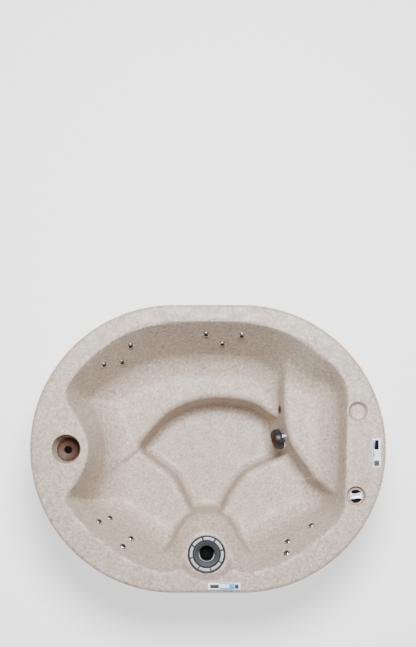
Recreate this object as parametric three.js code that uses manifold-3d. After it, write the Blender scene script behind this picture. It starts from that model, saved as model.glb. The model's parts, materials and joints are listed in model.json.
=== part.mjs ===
// An oval four-seat portable spa: a rotationally moulded tub with a wide rim, standing in a
// one-piece cabinet on a base tray, with its filter, jets, light, controls and equipment.
// Millimetres. +Z is up, +X is the long way, and the origin is the middle of the tray's underside.

import * as THREE from "three";
import { mergeVertices } from "three/addons/utils/BufferGeometryUtils.js";
import Module from "manifold-3d";

const wasm = await Module();
wasm.setup();

// Driving dimensions
const RIM_Z = 800; // height of the rim's flat top
const END_RADIUS = 863; // the plan is an obround: two half circles of this radius
const END_CENTRE = 204; // whose centres stand this far either side of the middle
const WALL = 9; // moulded wall of the tub
const GAP = 0.4; // air between pieces that touch
const FLOOR_Z = 80; // footwell floor
const SEAT_Z = 335; // south-west and south-east seats
const LOUNGE_Z = 358; // long seat along the north and west
const HIGH_SEAT_Z = 545; // raised seat over the equipment bay
const PEDESTAL_Z = 700; // flat land round the filter
const LIP_DROP = 66; // how far the rim turns down outside
const TRAY_FLOOR = 8; // base tray's floor
const TRAY_EDGE = 25; // base tray's upstand
const CABINET_INSET = 25; // from the lip's outside to the cabinet's outside
const CABINET_WALL = 8;

const FILTER = new THREE.Vector2(-8, -635);
const NICHE = { x: -5, y: -602, radius: 188, draft: 0.33 };
const BUCKET = { x: -849, y: -2, top: 86, bottom: 73, depth: 112 };
const CUP = { x: 898, y: 224, top: 57, bottom: 44, depth: 36 };
const KNOB = { x: 886, y: -282, top: 56, bottom: 50, depth: 30 };
const CUP_PADS = [
  { x: -846, y: 176 },
  { x: -846, y: -166 },
];
const PANEL = { x: 1008, y: -25, width: 52, length: 176, thickness: 4 };
const LABEL = { x: 97, y: -822, width: 209, depth: 53 };

// ---------------------------------------------------------------- curves and distances

// Points along a closed uniform Catmull-Rom curve.
function closedCurve(points, perSpan) {
  const out = [];
  const n = points.length;
  for (let i = 0; i < n; i++) {
    const [a, b, c, d] = [-1, 0, 1, 2].map((k) => points[(i + k + n) % n]);
    for (let j = 0; j < perSpan; j++) {
      out.push([0, 1].map((k) => catmull(a[k], b[k], c[k], d[k], j / perSpan)));
    }
  }
  return out;
}

function catmull(a, b, c, d, t) {
  const linear = (c - a) * t;
  const square = (2 * a - 5 * b + 4 * c - d) * t * t;
  const cube = (3 * b - a - 3 * c + d) * t * t * t;
  return 0.5 * (2 * b + linear + square + cube);
}

// Smooth value through rows of [where, value], held level past both ends.
function through(rows, where) {
  const last = rows.length - 1;
  const at = THREE.MathUtils.clamp(where, rows[0][0], rows[last][0]);
  let i = 0;
  while (i < last - 1 && at > rows[i + 1][0]) i++;
  const row = (k) => rows[THREE.MathUtils.clamp(k, 0, last)][1];
  const t = (at - rows[i][0]) / (rows[i + 1][0] - rows[i][0]);
  return catmull(row(i - 1), row(i), row(i + 1), row(i + 2), t);
}

// Distance to a closed outline, positive inside it.
function insideBy(outline, x, y) {
  let nearest = Infinity;
  let inside = false;
  for (let i = 0, j = outline.length - 1; i < outline.length; j = i++) {
    const [ax, ay] = outline[j];
    const [bx, by] = outline[i];
    const [dx, dy] = [bx - ax, by - ay];
    const t = THREE.MathUtils.clamp(((x - ax) * dx + (y - ay) * dy) / (dx * dx + dy * dy), 0, 1);
    nearest = Math.min(nearest, Math.hypot(x - ax - t * dx, y - ay - t * dy));
    if (ay > y !== by > y && x < ((bx - ax) * (y - ay)) / (by - ay) + ax) inside = !inside;
  }
  return inside ? nearest : -nearest;
}

// Height across a step: top where s is positive, bottom where it is well below zero, joined by a
// wall that runs out by draft for each millimetre it falls, with a round fillet at each end.
function stepHeight(s, top, bottom, draft, topRadius, bottomRadius) {
  if (top <= bottom) return bottom;
  const lean = Math.atan(draft);
  const reach = Math.tan((Math.PI / 2 - lean) / 2);
  const room = (top - bottom) / ((topRadius + bottomRadius) * reach * Math.cos(lean));
  const [rt, rb] = [topRadius, bottomRadius].map((r) => r * Math.min(1, room));
  const foot = -(top - bottom) * draft;
  if (s >= rt * reach) return top;
  if (s > -rt * reach * Math.sin(lean)) {
    return top - rt + Math.sqrt(rt * rt - (s - rt * reach) ** 2);
  }
  if (s > foot + rb * reach * Math.sin(lean)) return top + s / draft;
  if (s > foot - rb * reach) return bottom + rb - Math.sqrt(rb * rb - (s - foot + rb * reach) ** 2);
  return bottom;
}

// ---------------------------------------------------------------- the tub's surface

// Where the rim ends and the tub begins, counter-clockwise from the middle of the south side.
const OPENING = closedCurve(
  [
    [-5, -690], [144, -716], [215, -738], [300, -731], [480, -664], [670, -532], [800, -395],
    [822, -230], [829, 60], [835, 310], [800, 437], [690, 548], [510, 672], [280, 748], [0, 763],
    [-280, 748], [-500, 682], [-690, 550], [-830, 395], [-843, 290], [-785, 190], [-725, 60],
    [-725, -70], [-790, -205], [-846, -285], [-820, -365], [-690, -508], [-490, -656],
    [-320, -728], [-225, -736], [-153, -714],
  ],
  6,
);
// The footwell's edge at seat height. Its east and south ends pass under the high seat and pedestal.
const FOOTWELL = closedCurve(
  [
    [87, -387], [143, -271], [240, -142], [345, -84], [470, -34], [570, 30], [560, 140],
    [416, 228], [300, 305], [160, 338], [10, 342], [-130, 310], [-259, 244], [-360, 140],
    [-437, 24], [-324, -78], [-227, -158], [-163, -271], [-98, -387], [-5, -470],
  ],
  6,
);
// How far east the high seat's front edge stands, by y.
const HIGH_SEAT_FRONT = [
  [-420, 930], [-285, 800], [-174, 667], [60, 512], [340, 473], [604, 500], [760, 530],
];
// How far north the pedestal's shoulder reaches, by distance either side of the filter.
const SHOULDER = [[0, -391], [60, -396], [124, -429], [162, -484], [214, -576], [276, -656], [350, -735]];
// How far each wall runs in for each millimetre it falls, by direction in degrees.
const WALL_DRAFT = [
  [-180, 0.2], [-158, 0.3], [-135, 0.42], [-110, 0.36], [-90, 0.3], [-70, 0.36], [-45, 0.42], [-22, 0.26],
  [0, 0.2], [22, 0.3], [40, 0.6], [52, 0.5], [70, 0.44], [110, 0.44], [135, 0.42], [158, 0.3], [180, 0.2],
];

function steepness(rows, where) {
  return Math.hypot(1, (through(rows, where + 1) - through(rows, where - 1)) / 2);
}

function seatHeight(x, y) {
  // The crease between the lounge and the south-west seat runs from the waist to the footwell.
  const [ax, ay, bx, by] = [-700, -190, -437, 26];
  const along = Math.hypot(bx - ax, by - ay);
  const north = ((bx - ax) * (y - ay) - (by - ay) * (x - ax)) / along;
  if (x < -300) return stepHeight(north, LOUNGE_Z, SEAT_Z, 0.5, 12, 12);
  return y > 0 ? LOUNGE_Z : SEAT_Z;
}

function tubHeight(x, y) {
  const seat = seatHeight(x, y);
  const footwell = stepHeight(-insideBy(FOOTWELL, x, y), seat, FLOOR_Z, 0.1, 32, 50);
  const east = (x - through(HIGH_SEAT_FRONT, y)) / steepness(HIGH_SEAT_FRONT, y);
  const withHighSeat = stepHeight(east, HIGH_SEAT_Z, footwell, 0.2, 30, 60);
  const out = Math.hypot(x - FILTER.x, y - FILTER.y);
  const collar = stepHeight(137 - out, PEDESTAL_Z, 470, 0.82, 26, 60);
  const aside = Math.abs(x - FILTER.x);
  const south = (through(SHOULDER, aside) - y) / steepness(SHOULDER, aside);
  const withPedestal = stepHeight(south, collar, withHighSeat, 0.1, 22, 40);
  const draft = through(WALL_DRAFT, THREE.MathUtils.radToDeg(Math.atan2(y, x)));
  const withWall = stepHeight(-insideBy(OPENING, x, y), RIM_Z, withPedestal, draft, 16, 170);
  const inNiche = NICHE.radius - Math.hypot(x - NICHE.x, y - NICHE.y);
  return Math.min(withWall, stepHeight(-inNiche, RIM_Z, PEDESTAL_Z, NICHE.draft, 12, 14));
}

// Unit normal of the tub's surface, pointing up into the tub.
function tubNormal(x, y) {
  const d = 4;
  const dx = (tubHeight(x + d, y) - tubHeight(x - d, y)) / (2 * d);
  const dy = (tubHeight(x, y + d) - tubHeight(x, y - d)) / (2 * d);
  return new THREE.Vector3(-dx, -dy, 1).normalize();
}

// How far a ray from the middle runs before it leaves the obround of that end radius.
function obroundReach(angle, radius) {
  const [c, s] = [Math.abs(Math.cos(angle)), Math.abs(Math.sin(angle))];
  if (s > 0 && (radius / s) * c < END_CENTRE) return radius / s;
  const b = END_CENTRE * c;
  return b + Math.sqrt(b * b + radius * radius - END_CENTRE * END_CENTRE);
}

// Points down one spoke of the tub, from the lip's lower edge to the footwell floor. Along a spoke the
// surface only falls towards the middle, so each point stands where it passes one level, and each
// flat (pedestal, high seat, seat) has a level just over it and one just under it.
function spoke(angle) {
  const [c, s] = [Math.cos(angle), Math.sin(angle)];
  const at = (r, z) => new THREE.Vector3(r * c, r * s, z);
  const seat = seatHeight(500 * c, 500 * s);
  const levels = [
    RIM_Z - 3, RIM_Z - 40, PEDESTAL_Z + 3, PEDESTAL_Z - 3, 625, HIGH_SEAT_Z + 3, HIGH_SEAT_Z - 3, 450,
    seat + 3, seat - 3, 210, FLOOR_Z + 20, FLOOR_Z + 2,
  ];
  const points = [
    at(obroundReach(angle, END_RADIUS), RIM_Z - LIP_DROP),
    at(obroundReach(angle, END_RADIUS - 4), RIM_Z - 10),
    at(obroundReach(angle, END_RADIUS - 14), RIM_Z),
  ];
  const step = 2;
  let r = obroundReach(angle, END_RADIUS - 20);
  let above = RIM_Z;
  for (const level of levels) {
    let here = tubHeight(r * c, r * s);
    while (here > level && r > step) {
      above = here;
      r -= step;
      here = tubHeight(r * c, r * s);
    }
    const back = above > here ? THREE.MathUtils.clamp((level - here) / (above - here), 0, 1) : 0;
    points.push(at(r + step * back, level));
    r -= step * (1 - back) * 0.5;
  }
  return points;
}

// Spokes stand closer together in the south, where the pedestal's flanks run almost along them.
const CROWDING = 0.4;

// The tub as a closed wall: its upper surface, and the same surface set back along its normals.
function tubGeometry(spokes) {
  const upper = [];
  for (let k = 0; k < spokes; k++) {
    const even = (2 * Math.PI * (k + 0.5)) / spokes;
    upper.push(...spoke(even - CROWDING * Math.sin(even) - Math.PI / 2));
  }
  const perSpoke = upper.length / spokes;
  const centre = upper.length;
  upper.push(new THREE.Vector3(0, 0, FLOOR_Z));
  const faces = [];
  for (let k = 0; k < spokes; k++) {
    const [a, b] = [k * perSpoke, ((k + 1) % spokes) * perSpoke];
    for (let r = 0; r < perSpoke - 1; r++) {
      faces.push([a + r, b + r, b + r + 1], [a + r, b + r + 1, a + r + 1]);
    }
    faces.push([a + perSpoke - 1, b + perSpoke - 1, centre]);
  }
  const skin = new THREE.BufferGeometry().setFromPoints(upper);
  skin.setIndex(faces.flat());
  skin.computeVertexNormals();
  const normals = skin.getAttribute("normal");
  const lower = upper.map((p, i) => {
    const set = new THREE.Vector3().fromBufferAttribute(normals, i);
    if (i !== centre && i % perSpoke === 0) set.setZ(0).normalize();
    return p.clone().addScaledVector(set, -WALL);
  });
  const offset = upper.length;
  const under = faces.map(([a, b, c]) => [a + offset, c + offset, b + offset]);
  const band = [];
  for (let k = 0; k < spokes; k++) {
    const [a, b] = [k * perSpoke, ((k + 1) % spokes) * perSpoke];
    band.push([b, a, a + offset], [b, a + offset, b + offset]);
  }
  const geometry = new THREE.BufferGeometry().setFromPoints([...upper, ...lower]);
  geometry.setIndex([...faces, ...under, ...band].flat());
  return geometry;
}

// ---------------------------------------------------------------- solids

function solid(geometry) {
  const bare = geometry.clone();
  bare.deleteAttribute("normal");
  bare.deleteAttribute("uv");
  const merged = mergeVertices(bare, 1e-3);
  return new wasm.Manifold(
    new wasm.Mesh({
      numProp: 3,
      vertProperties: merged.getAttribute("position").array,
      triVerts: new Uint32Array(merged.index.array),
    }),
  );
}

function geometryOf(manifold) {
  const mesh = manifold.getMesh();
  const geometry = new THREE.BufferGeometry();
  const positions = new Float32Array(mesh.numVert * 3);
  for (let i = 0; i < mesh.numVert; i++) {
    positions.set(mesh.vertProperties.subarray(i * mesh.numProp, i * mesh.numProp + 3), i * 3);
  }
  geometry.setAttribute("position", new THREE.BufferAttribute(positions, 3));
  geometry.setIndex(new THREE.BufferAttribute(mesh.triVerts, 1));
  return geometry;
}

// A solid turned about +Z from rows of [radius, height], listed from the bottom of the axis up.
function turned(profile, sides) {
  const points = profile.map(([r, z]) => new THREE.Vector2(r, z));
  const geometry = new THREE.LatheGeometry(points, sides);
  geometry.rotateX(Math.PI / 2); // LatheGeometry turns about +Y
  return geometry;
}

function cylinder(radius, low, high, sides = 24) {
  return turned([[0, low], [radius, low], [radius, high], [0, high]], sides);
}

function tube(inner, outer, low, high, sides = 24) {
  return turned([[inner, low], [outer, low], [outer, high], [inner, high], [inner, low]], sides);
}

function box(width, depth, height, x, y, z) {
  return new THREE.BoxGeometry(width, depth, height).translate(x, y, z + height / 2);
}

// An upright obround slab or, with an inner radius, an obround ring.
function obround(outer, low, high, inner = 0) {
  const outline = (radius, make) => {
    const path = new make();
    path.absarc(END_CENTRE, 0, radius, -Math.PI / 2, Math.PI / 2);
    path.absarc(-END_CENTRE, 0, radius, Math.PI / 2, (3 * Math.PI) / 2);
    return path;
  };
  const shape = outline(outer, THREE.Shape);
  if (inner) shape.holes.push(outline(inner, THREE.Path));
  const geometry = new THREE.ExtrudeGeometry(shape, {
    depth: high - low,
    bevelEnabled: false,
    curveSegments: 9,
  });
  return geometry.translate(0, 0, low);
}

// A straight pipe from one point to another.
function pipeBetween(from, to, radius) {
  const along = to.clone().sub(from);
  return placed(cylinder(radius, 0, along.length(), 6), from, along.normalize());
}

// Turns a piece made round +Z so that +Z lies along direction, and puts its origin at point.
function placed(geometry, point, direction) {
  const turn = new THREE.Quaternion().setFromUnitVectors(new THREE.Vector3(0, 0, 1), direction);
  return geometry.clone().applyQuaternion(turn).translate(point.x, point.y, point.z);
}

const part = new THREE.Group();

const FINISHES = {
  moulded_shell: [0xcfc6bd, 0.5, 0],
  moulded_cabinet: [0x8d8379, 0.6, 0],
  black_plastic: [0x16181b, 0.4, 0],
  grey_plastic: [0x84878c, 0.35, 0],
  light_grey_plastic: [0xb9bec6, 0.3, 0],
  white_plastic: [0xf0f0ee, 0.3, 0],
  chrome: [0xd5d9de, 0.15, 1],
  amber_lens: [0x9a5c1c, 0.2, 0],
  display_glass: [0x10151c, 0.1, 0],
  filter_fabric: [0xe6e8ea, 0.9, 0],
  foam: [0xd9cfa8, 0.95, 0],
  painted_motor: [0x3a4148, 0.45, 0.3],
  steel: [0xb4b7ba, 0.3, 1],
};

function add(name, geometry, finish) {
  const [color, roughness, metalness] = FINISHES[finish];
  const mesh = new THREE.Mesh(geometry, new THREE.MeshStandardMaterial({ color, roughness, metalness }));
  mesh.name = name;
  part.add(mesh);
}

// ---------------------------------------------------------------- wall fittings

// Jets stand in the tub's wall, square to it, in four groups. Each row gives a name and a place in
// plan, and each group is listed in the order in which its manifold's pipe joins the bodies.
const JET_GROUPS = {
  north: [["left", -12, 704], ["low", 90, 659], ["right", 207, 696]],
  northwest: [["left", -635, 520], ["low", -532, 545], ["right", -472, 633]],
  southwest: [
    ["outer_left", -668, -440], ["inner_left", -612, -421],
    ["inner_right", -476, -546], ["outer_right", -516, -589],
  ],
  southeast: [["outer", 636, -465], ["inner", 489, -563], ["low", 475, -628]],
};
const JET = { flange: 24, stem: 11.4, bore: 13.5, body: 18.5, tail: 58, lift: 3 };
const MANIFOLD_PIPE = 10;

function jetFace() {
  const { stem, flange, lift } = JET;
  const rows = [[0, -26], [stem, -26], [stem, lift], [flange, lift], [flange - 2, lift + 4], [0, lift + 2]];
  const nozzle = cylinder(6, -12, 30, 5).rotateY(0.35).translate(1.5, 0, 0);
  return geometryOf(solid(turned(rows, 10)).subtract(solid(nozzle)));
}

function jetBody() {
  const { body, bore, tail } = JET;
  const mouth = -GAP - 1;
  const rows = [[0, -tail], [body, -tail], [body, mouth], [bore, mouth], [bore, -36], [0, -36]];
  return turned(rows, 8);
}

const cutters = [];
function addJets() {
  const face = jetFace();
  const body = jetBody();
  const hole = cylinder(JET.body + 1.5, -90, 10, 8);
  for (const [group, jets] of Object.entries(JET_GROUPS)) {
    let manifold = null;
    let before = null;
    for (const [name, x, y] of jets) {
      const point = new THREE.Vector3(x, y, tubHeight(x, y));
      const normal = tubNormal(x, y);
      const tail = point.clone().addScaledVector(normal, MANIFOLD_PIPE + 2 - JET.tail);
      add(`jet_face_${group}_${name}`, placed(face, point, normal), "chrome");
      cutters.push(placed(hole, point, normal));
      const one = solid(placed(body, point, normal));
      manifold = manifold ? manifold.add(one).add(solid(pipeBetween(before, tail, MANIFOLD_PIPE))) : one;
      before = tail;
    }
    add(`jet_manifold_${group}`, geometryOf(manifold), "grey_plastic");
  }
}

// A place on the high seat's front wall at a height, and the way that wall faces. The wall's foot lies
// less than WALL_REACH in front of its top edge.
const WALL_REACH = 120;
function onFrontWall(y, z) {
  let [low, high] = [through(HIGH_SEAT_FRONT, y) - WALL_REACH, through(HIGH_SEAT_FRONT, y) + 20];
  while (high - low > 0.02) {
    const middle = (low + high) / 2;
    if (tubHeight(middle, y) < z) low = middle;
    else high = middle;
  }
  return { point: new THREE.Vector3(low, y, z), normal: tubNormal(low, y) };
}

// Underwater light: a chrome wall fitting, a black screw ring and an amber lens over a bulb.
const LIGHT = { y: 84, z: 400, radius: 66, seat: 4, neck: 40 };
function addLight() {
  const { point, normal } = onFrontWall(LIGHT.y, LIGHT.z);
  const { radius: R, seat, neck } = LIGHT;
  const housing = [
    [0, -70], [neck, -70], [neck, -seat], [R, -seat], [R, 18], [R - 6, 18], [R - 6, 4], [neck - 4, 4],
    [neck - 4, -64], [0, -64],
  ];
  const ring = [
    [R - 5, 18 + GAP], [R - 1, 18 + GAP], [R - 1, 40], [R - 9, 62], [R - 15, 62], [R - 15, 30],
    [R - 5, 30], [R - 5, 18 + GAP],
  ];
  const lens = [[0, 36], [R - 16, 32], [R - 16, 58], [R - 26, 64], [0, 70]];
  const bulb = [[0, -60], [12, -60], [12, -30], [20, -12], [14, 6], [0, 12]];
  add("light_housing", placed(turned(housing, 20), point, normal), "chrome");
  add("light_screw_ring", placed(turned(ring, 20), point, normal), "black_plastic");
  add("light_lens", placed(turned(lens, 20), point, normal), "amber_lens");
  add("light_bulb", placed(turned(bulb, 10), point, normal), "white_plastic");
  cutters.push(placed(cylinder(neck + GAP, -120, 5, 20), point, normal));
  cutters.push(placed(cylinder(R + GAP, -seat - GAP, 100, 20), point, normal));
}

// Small return fitting higher on the same wall.
const RETURN = { y: 262, z: 430 };
function addReturn() {
  const { point, normal } = onFrontWall(RETURN.y, RETURN.z);
  const fitting = [[0, -46], [16, -46], [20, -30], [20, 0.5], [26, 0.5], [25, 4], [18, 6], [0, 3]];
  add("return_fitting", placed(turned(fitting, 12), point, normal), "black_plastic");
  cutters.push(placed(cylinder(20 + GAP, -80, 2, 12), point, normal));
  cutters.push(placed(cylinder(26 + GAP, 0, 30, 12), point, normal));
}

// ---------------------------------------------------------------- the tub

const FILTER_HOLE = 99;
const DRAIN_HOLE = 24;
const VALVE_HOLE = 21;
const CUP_PAD = { radius: 61, depth: 2 };
const BOWL_Z = 250; // height of the seam round the footwell's bowl

// The tub is one moulding on the real spa. Its footwell bowl and the three wells that hang under the
// rim are bodies of their own here, a GAP from the shell, so that each keeps a simple shape.
function addTub() {
  const overFilter = (geometry) => solid(geometry.translate(FILTER.x, FILTER.y, 0));
  const land = overFilter(tube(FILTER_HOLE - 20, 134, PEDESTAL_Z - WALL, PEDESTAL_Z, 20));
  const aboveLand = overFilter(cylinder(122, PEDESTAL_Z, RIM_Z + 5, 20));
  let tub = solid(tubGeometry(64)).add(land).subtract(aboveLand);
  const underside = tub.translate(0, 0, -GAP);
  addWell("ice_bucket_well", BUCKET, DRAIN_HOLE, underside);
  addWell("cup_holder_well", CUP, 0, underside);
  addWell("air_control_well", KNOB, VALVE_HOLE, underside);
  cutters.push(...[BUCKET, CUP, KNOB].map(wellHollow));
  for (const { x, y } of CUP_PADS) {
    cutters.push(cylinder(CUP_PAD.radius, RIM_Z - CUP_PAD.depth, RIM_Z + 5, 20).translate(x, y, 0));
  }
  cutters.push(cylinder(FILTER_HOLE, 500, RIM_Z, 20).translate(FILTER.x, FILTER.y, 0));
  cutters.push(box(3000, 3000, GAP, 0, 0, BOWL_Z));
  for (const cutter of cutters) tub = tub.subtract(solid(cutter));
  const [shell, bowl] = largestFirst(tub);
  add("tub_shell", geometryOf(shell), "moulded_shell");
  add("footwell_bowl", geometryOf(bowl), "moulded_shell");
}

// The separate bodies of a solid. A cut can leave slivers, and they come last.
function largestFirst(manifold) {
  return manifold.decompose().sort((a, b) => b.volume() - a.volume());
}

// The hollow of a round well in the rim.
function wellHollow({ x, y, top, bottom, depth }) {
  const floor = RIM_Z - depth;
  const rows = [
    [0, floor], [bottom - 8, floor], [bottom, floor + 8], [top - 3, RIM_Z - 6], [top + 3, RIM_Z + 4],
    [0, RIM_Z + 4],
  ];
  return turned(rows, 16).translate(x, y, 0);
}

// The wall of a well, from the rim's underside down, with a hole in its floor if it needs one.
function addWell(name, well, hole, underside) {
  const { x, y, top, bottom, depth } = well;
  const floor = RIM_Z - depth;
  const rows = [[0, floor - WALL], [bottom + WALL, floor - WALL], [top + WALL, RIM_Z - 1], [0, RIM_Z - 1]];
  const cup = solid(turned(rows, 16).translate(x, y, 0));
  let wall = cup.subtract(solid(wellHollow(well))).subtract(underside);
  if (hole) wall = wall.subtract(solid(cylinder(hole + GAP, floor - 40, RIM_Z, 16).translate(x, y, 0)));
  add(name, geometryOf(largestFirst(wall)[0]), "moulded_shell");
}

// ---------------------------------------------------------------- rim pieces

// Bucket: an amber lit dish in the floor of the well, with a black strainer in its middle.
function addBucket() {
  const floor = RIM_Z - BUCKET.depth;
  const edge = BUCKET.bottom - 3;
  const dish = [
    [25.5, floor + GAP], [edge - 7, floor + GAP], [edge, floor + 8], [edge - 2, floor + 14],
    [46, floor + 6], [28, floor + 3.5], [25.5, floor + GAP],
  ];
  const strainer = [
    [0, floor - 40], [20, floor - 40], [DRAIN_HOLE, floor - 30], [DRAIN_HOLE, floor + 2],
    [20, floor + 2], [19, floor - 3], [0, floor - 3],
  ];
  add("bucket_lens", turned(dish, 20).translate(BUCKET.x, BUCKET.y, 0), "amber_lens");
  add("bucket_strainer", turned(strainer, 16).translate(BUCKET.x, BUCKET.y, 0), "black_plastic");
}

// Air control: a valve body hung under the rim, a black cap that turns in it, and a chrome bar.
function addAirControl() {
  const floor = RIM_Z - KNOB.depth;
  const body = [
    [0, floor - 62], [18, floor - 62], [VALVE_HOLE, floor - 50], [VALVE_HOLE, floor + GAP],
    [34, floor + GAP], [34, floor + 6], [13, floor + 6], [13, floor - 40], [0, floor - 40],
  ];
  const cap = [
    [0, floor - 34], [12.3, floor - 34], [12.3, floor + 6 + GAP], [38, floor + 6 + GAP],
    [38, floor + 18], [35, floor + 21], [0, floor + 21],
  ];
  const [half, end, waist] = [31, 20, 10];
  const bar = new THREE.Shape();
  bar.moveTo(-half, -end);
  bar.quadraticCurveTo(0, -waist, half, -end);
  bar.quadraticCurveTo(half + 12, 0, half, end);
  bar.quadraticCurveTo(0, waist, -half, end);
  bar.quadraticCurveTo(-half - 12, 0, -half, -end);
  const handle = new THREE.ExtrudeGeometry(bar, { depth: 9, bevelEnabled: false, curveSegments: 8 });
  add("air_control_body", turned(body, 16).translate(KNOB.x, KNOB.y, 0), "grey_plastic");
  add("air_control_cap", turned(cap, 16).translate(KNOB.x, KNOB.y, 0), "black_plastic");
  add("air_control_bar", handle.translate(KNOB.x, KNOB.y, floor + 21 + GAP), "chrome");
}

// A flat plate with rounded corners.
function plate(width, depth, thickness, corner) {
  const [x, y] = [width / 2 - corner, depth / 2 - corner];
  const shape = new THREE.Shape();
  shape.absarc(x, y, corner, 0, Math.PI / 2);
  shape.absarc(-x, y, corner, Math.PI / 2, Math.PI);
  shape.absarc(-x, -y, corner, Math.PI, 1.5 * Math.PI);
  shape.absarc(x, -y, corner, 1.5 * Math.PI, 2 * Math.PI);
  return new THREE.ExtrudeGeometry(shape, { depth: thickness, bevelEnabled: false, curveSegments: 3 });
}

// Control panel: a white plate with a display at its north end and four keys at its south end.
const KEY = { size: 10, pitch: 15, y: -62, height: 2.6, travel: 0.8, sill: 1.2 };
const DISPLAY = { width: 24, length: 56, y: 48, sill: 1.8 };
function addControlPanel() {
  const face = RIM_Z + GAP;
  const keys = [[-1, 1, "up"], [1, 1, "down"], [-1, -1, "pump"], [1, -1, "light"]].map(([i, j, name]) => ({
    name, x: (i * KEY.pitch) / 2, y: KEY.y + (j * KEY.pitch) / 2,
  }));
  let panel = solid(plate(PANEL.width, PANEL.length, PANEL.thickness, 7));
  const window = box(DISPLAY.width + 1, DISPLAY.length + 1, 10, 0, DISPLAY.y, DISPLAY.sill - GAP);
  panel = panel.subtract(solid(window));
  for (const { x, y } of keys) {
    panel = panel.subtract(solid(box(KEY.size + 1, KEY.size + 1, 10, x, y, KEY.sill)));
  }
  add("control_panel", geometryOf(panel).translate(PANEL.x, PANEL.y, face), "white_plastic");
  const glass = box(DISPLAY.width, DISPLAY.length, 2, PANEL.x, PANEL.y + DISPLAY.y, face + DISPLAY.sill);
  add("control_display", glass, "display_glass");
  for (const { name, x, y } of keys) {
    const low = face + KEY.sill + KEY.travel + GAP;
    const key = box(KEY.size, KEY.size, KEY.height, PANEL.x + x, PANEL.y + y, low);
    add(`control_key_${name}`, key, "black_plastic");
  }
}

function addLabel() {
  const label = plate(LABEL.width, LABEL.depth, 1.5, 7);
  add("rim_plate", label.translate(LABEL.x, LABEL.y, RIM_Z + GAP), "white_plastic");
}

// ---------------------------------------------------------------- filter

// Canister under the pedestal, a pleated cartridge in it, a floating weir and a slotted lock ring.
const LOCK_RING_SLOTS = 8;
function addFilter() {
  const land = PEDESTAL_Z;
  const at = (geometry) => geometry.translate(FILTER.x, FILTER.y, 0);
  const canister = [
    [0, land - 330], [70, land - 330], [90, land - 300], [97, land - 8], [97, land + GAP],
    [107, land + GAP], [107, land + 4], [91, land + 4], [91, land - 10], [84, land - 294], [0, land - 320],
  ];
  const cartridge = tube(22, 60, land - 290, land - 82, 16);
  const flat = [
    [80, land + 5], [115, land + 5], [115, land + 10], [108, land + 15], [86, land + 15],
    [80, land + 10], [80, land + 5],
  ];
  let ring = solid(turned(flat, 24));
  for (let k = 0; k < LOCK_RING_SLOTS; k++) {
    const slot = box(30, 4, 10, 100, 0, land + 11).rotateZ((2 * Math.PI * k) / LOCK_RING_SLOTS + 0.2);
    ring = ring.subtract(solid(slot));
  }
  const weir = [
    [49, land - 64], [52, land - 64], [52, land - 14], [78, land - 2], [78, land + 2],
    [50, land - 10], [49, land - 64],
  ];
  const knob = solid(cylinder(30, land - 78, land - 58, 20)).add(solid(box(84, 10, 6, 0, 0, land - 77)));
  const handle = solid(tube(34, 44, land - 78, land - 70, 24)).add(knob);
  add("filter_canister", at(turned(canister, 20)), "grey_plastic");
  add("filter_cartridge", at(cartridge), "filter_fabric");
  add("filter_handle", at(geometryOf(handle)), "black_plastic");
  add("filter_lock_ring", at(geometryOf(ring)), "light_grey_plastic");
  add("filter_weir", at(turned(weir, 20)), "grey_plastic");
}

// ---------------------------------------------------------------- cabinet and base

const CABINET_RADIUS = END_RADIUS - CABINET_INSET;
const DOOR = { half: 300, low: 90, high: 640, gap: 2 };
const LATCH = { y: 262, z: 596, hole: 9 };
const DRAIN_Z = 62;
const GLAND = { y: -400, z: 62 };

// Puts a piece made round +Z on the cabinet's round east end, so that +Z points straight out.
function onEastEnd(geometry, y, z) {
  const lean = Math.asin(y / CABINET_RADIUS);
  const x = END_CENTRE + CABINET_RADIUS * Math.cos(lean);
  return geometry.clone().rotateY(Math.PI / 2).rotateZ(lean).translate(x, y, z);
}

// Puts a piece made round +Z on the cabinet's flat south side, so that +Z points straight out.
function onSouthSide(geometry, x, z) {
  return geometry.clone().rotateX(Math.PI / 2).translate(x, -CABINET_RADIUS, z);
}

function addCabinet() {
  const low = TRAY_EDGE + GAP;
  const high = RIM_Z - WALL - GAP - 1;
  const ring = solid(obround(CABINET_RADIUS, low, high, CABINET_RADIUS - CABINET_WALL));
  const doorway = (inset) => {
    const height = DOOR.high - DOOR.low - 2 * inset;
    return solid(box(400, 2 * (DOOR.half - inset), height, 1000, 0, DOOR.low + inset));
  };
  const drainHole = solid(onSouthSide(cylinder(DRAIN.neck + GAP, -40, 40, 16), 0, DRAIN_Z));
  const glandHole = solid(onEastEnd(cylinder(GLAND_NECK + GAP, -40, 40, 16), GLAND.y, GLAND.z));
  const cabinet = ring.subtract(doorway(0)).subtract(drainHole).subtract(glandHole);
  add("cabinet", geometryOf(cabinet), "moulded_cabinet");
  let door = ring.intersect(doorway(DOOR.gap));
  for (const side of [-1, 1]) {
    door = door.subtract(solid(onEastEnd(cylinder(LATCH.hole, -30, 30, 14), side * LATCH.y, LATCH.z)));
  }
  add("access_door", geometryOf(door), "moulded_cabinet");
  addLatches();
}

// Quarter-turn latches. Each tongue hangs inside the door and turns out behind the cabinet's wall.
function addLatches() {
  const shank = solid(cylinder(LATCH.hole - GAP, -20, 2, 14));
  const head = solid(cylinder(15, 1, 5, 14)).add(solid(box(26, 6, 4, 0, 0, 4)));
  const tongue = solid(box(66, 14, 4, 25, 0, -22));
  const latch = geometryOf(shank.add(head).add(tongue));
  for (const [side, name] of [[1, "north"], [-1, "south"]]) {
    add(`door_latch_${name}`, onEastEnd(latch, side * LATCH.y, LATCH.z), "black_plastic");
  }
}

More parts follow.
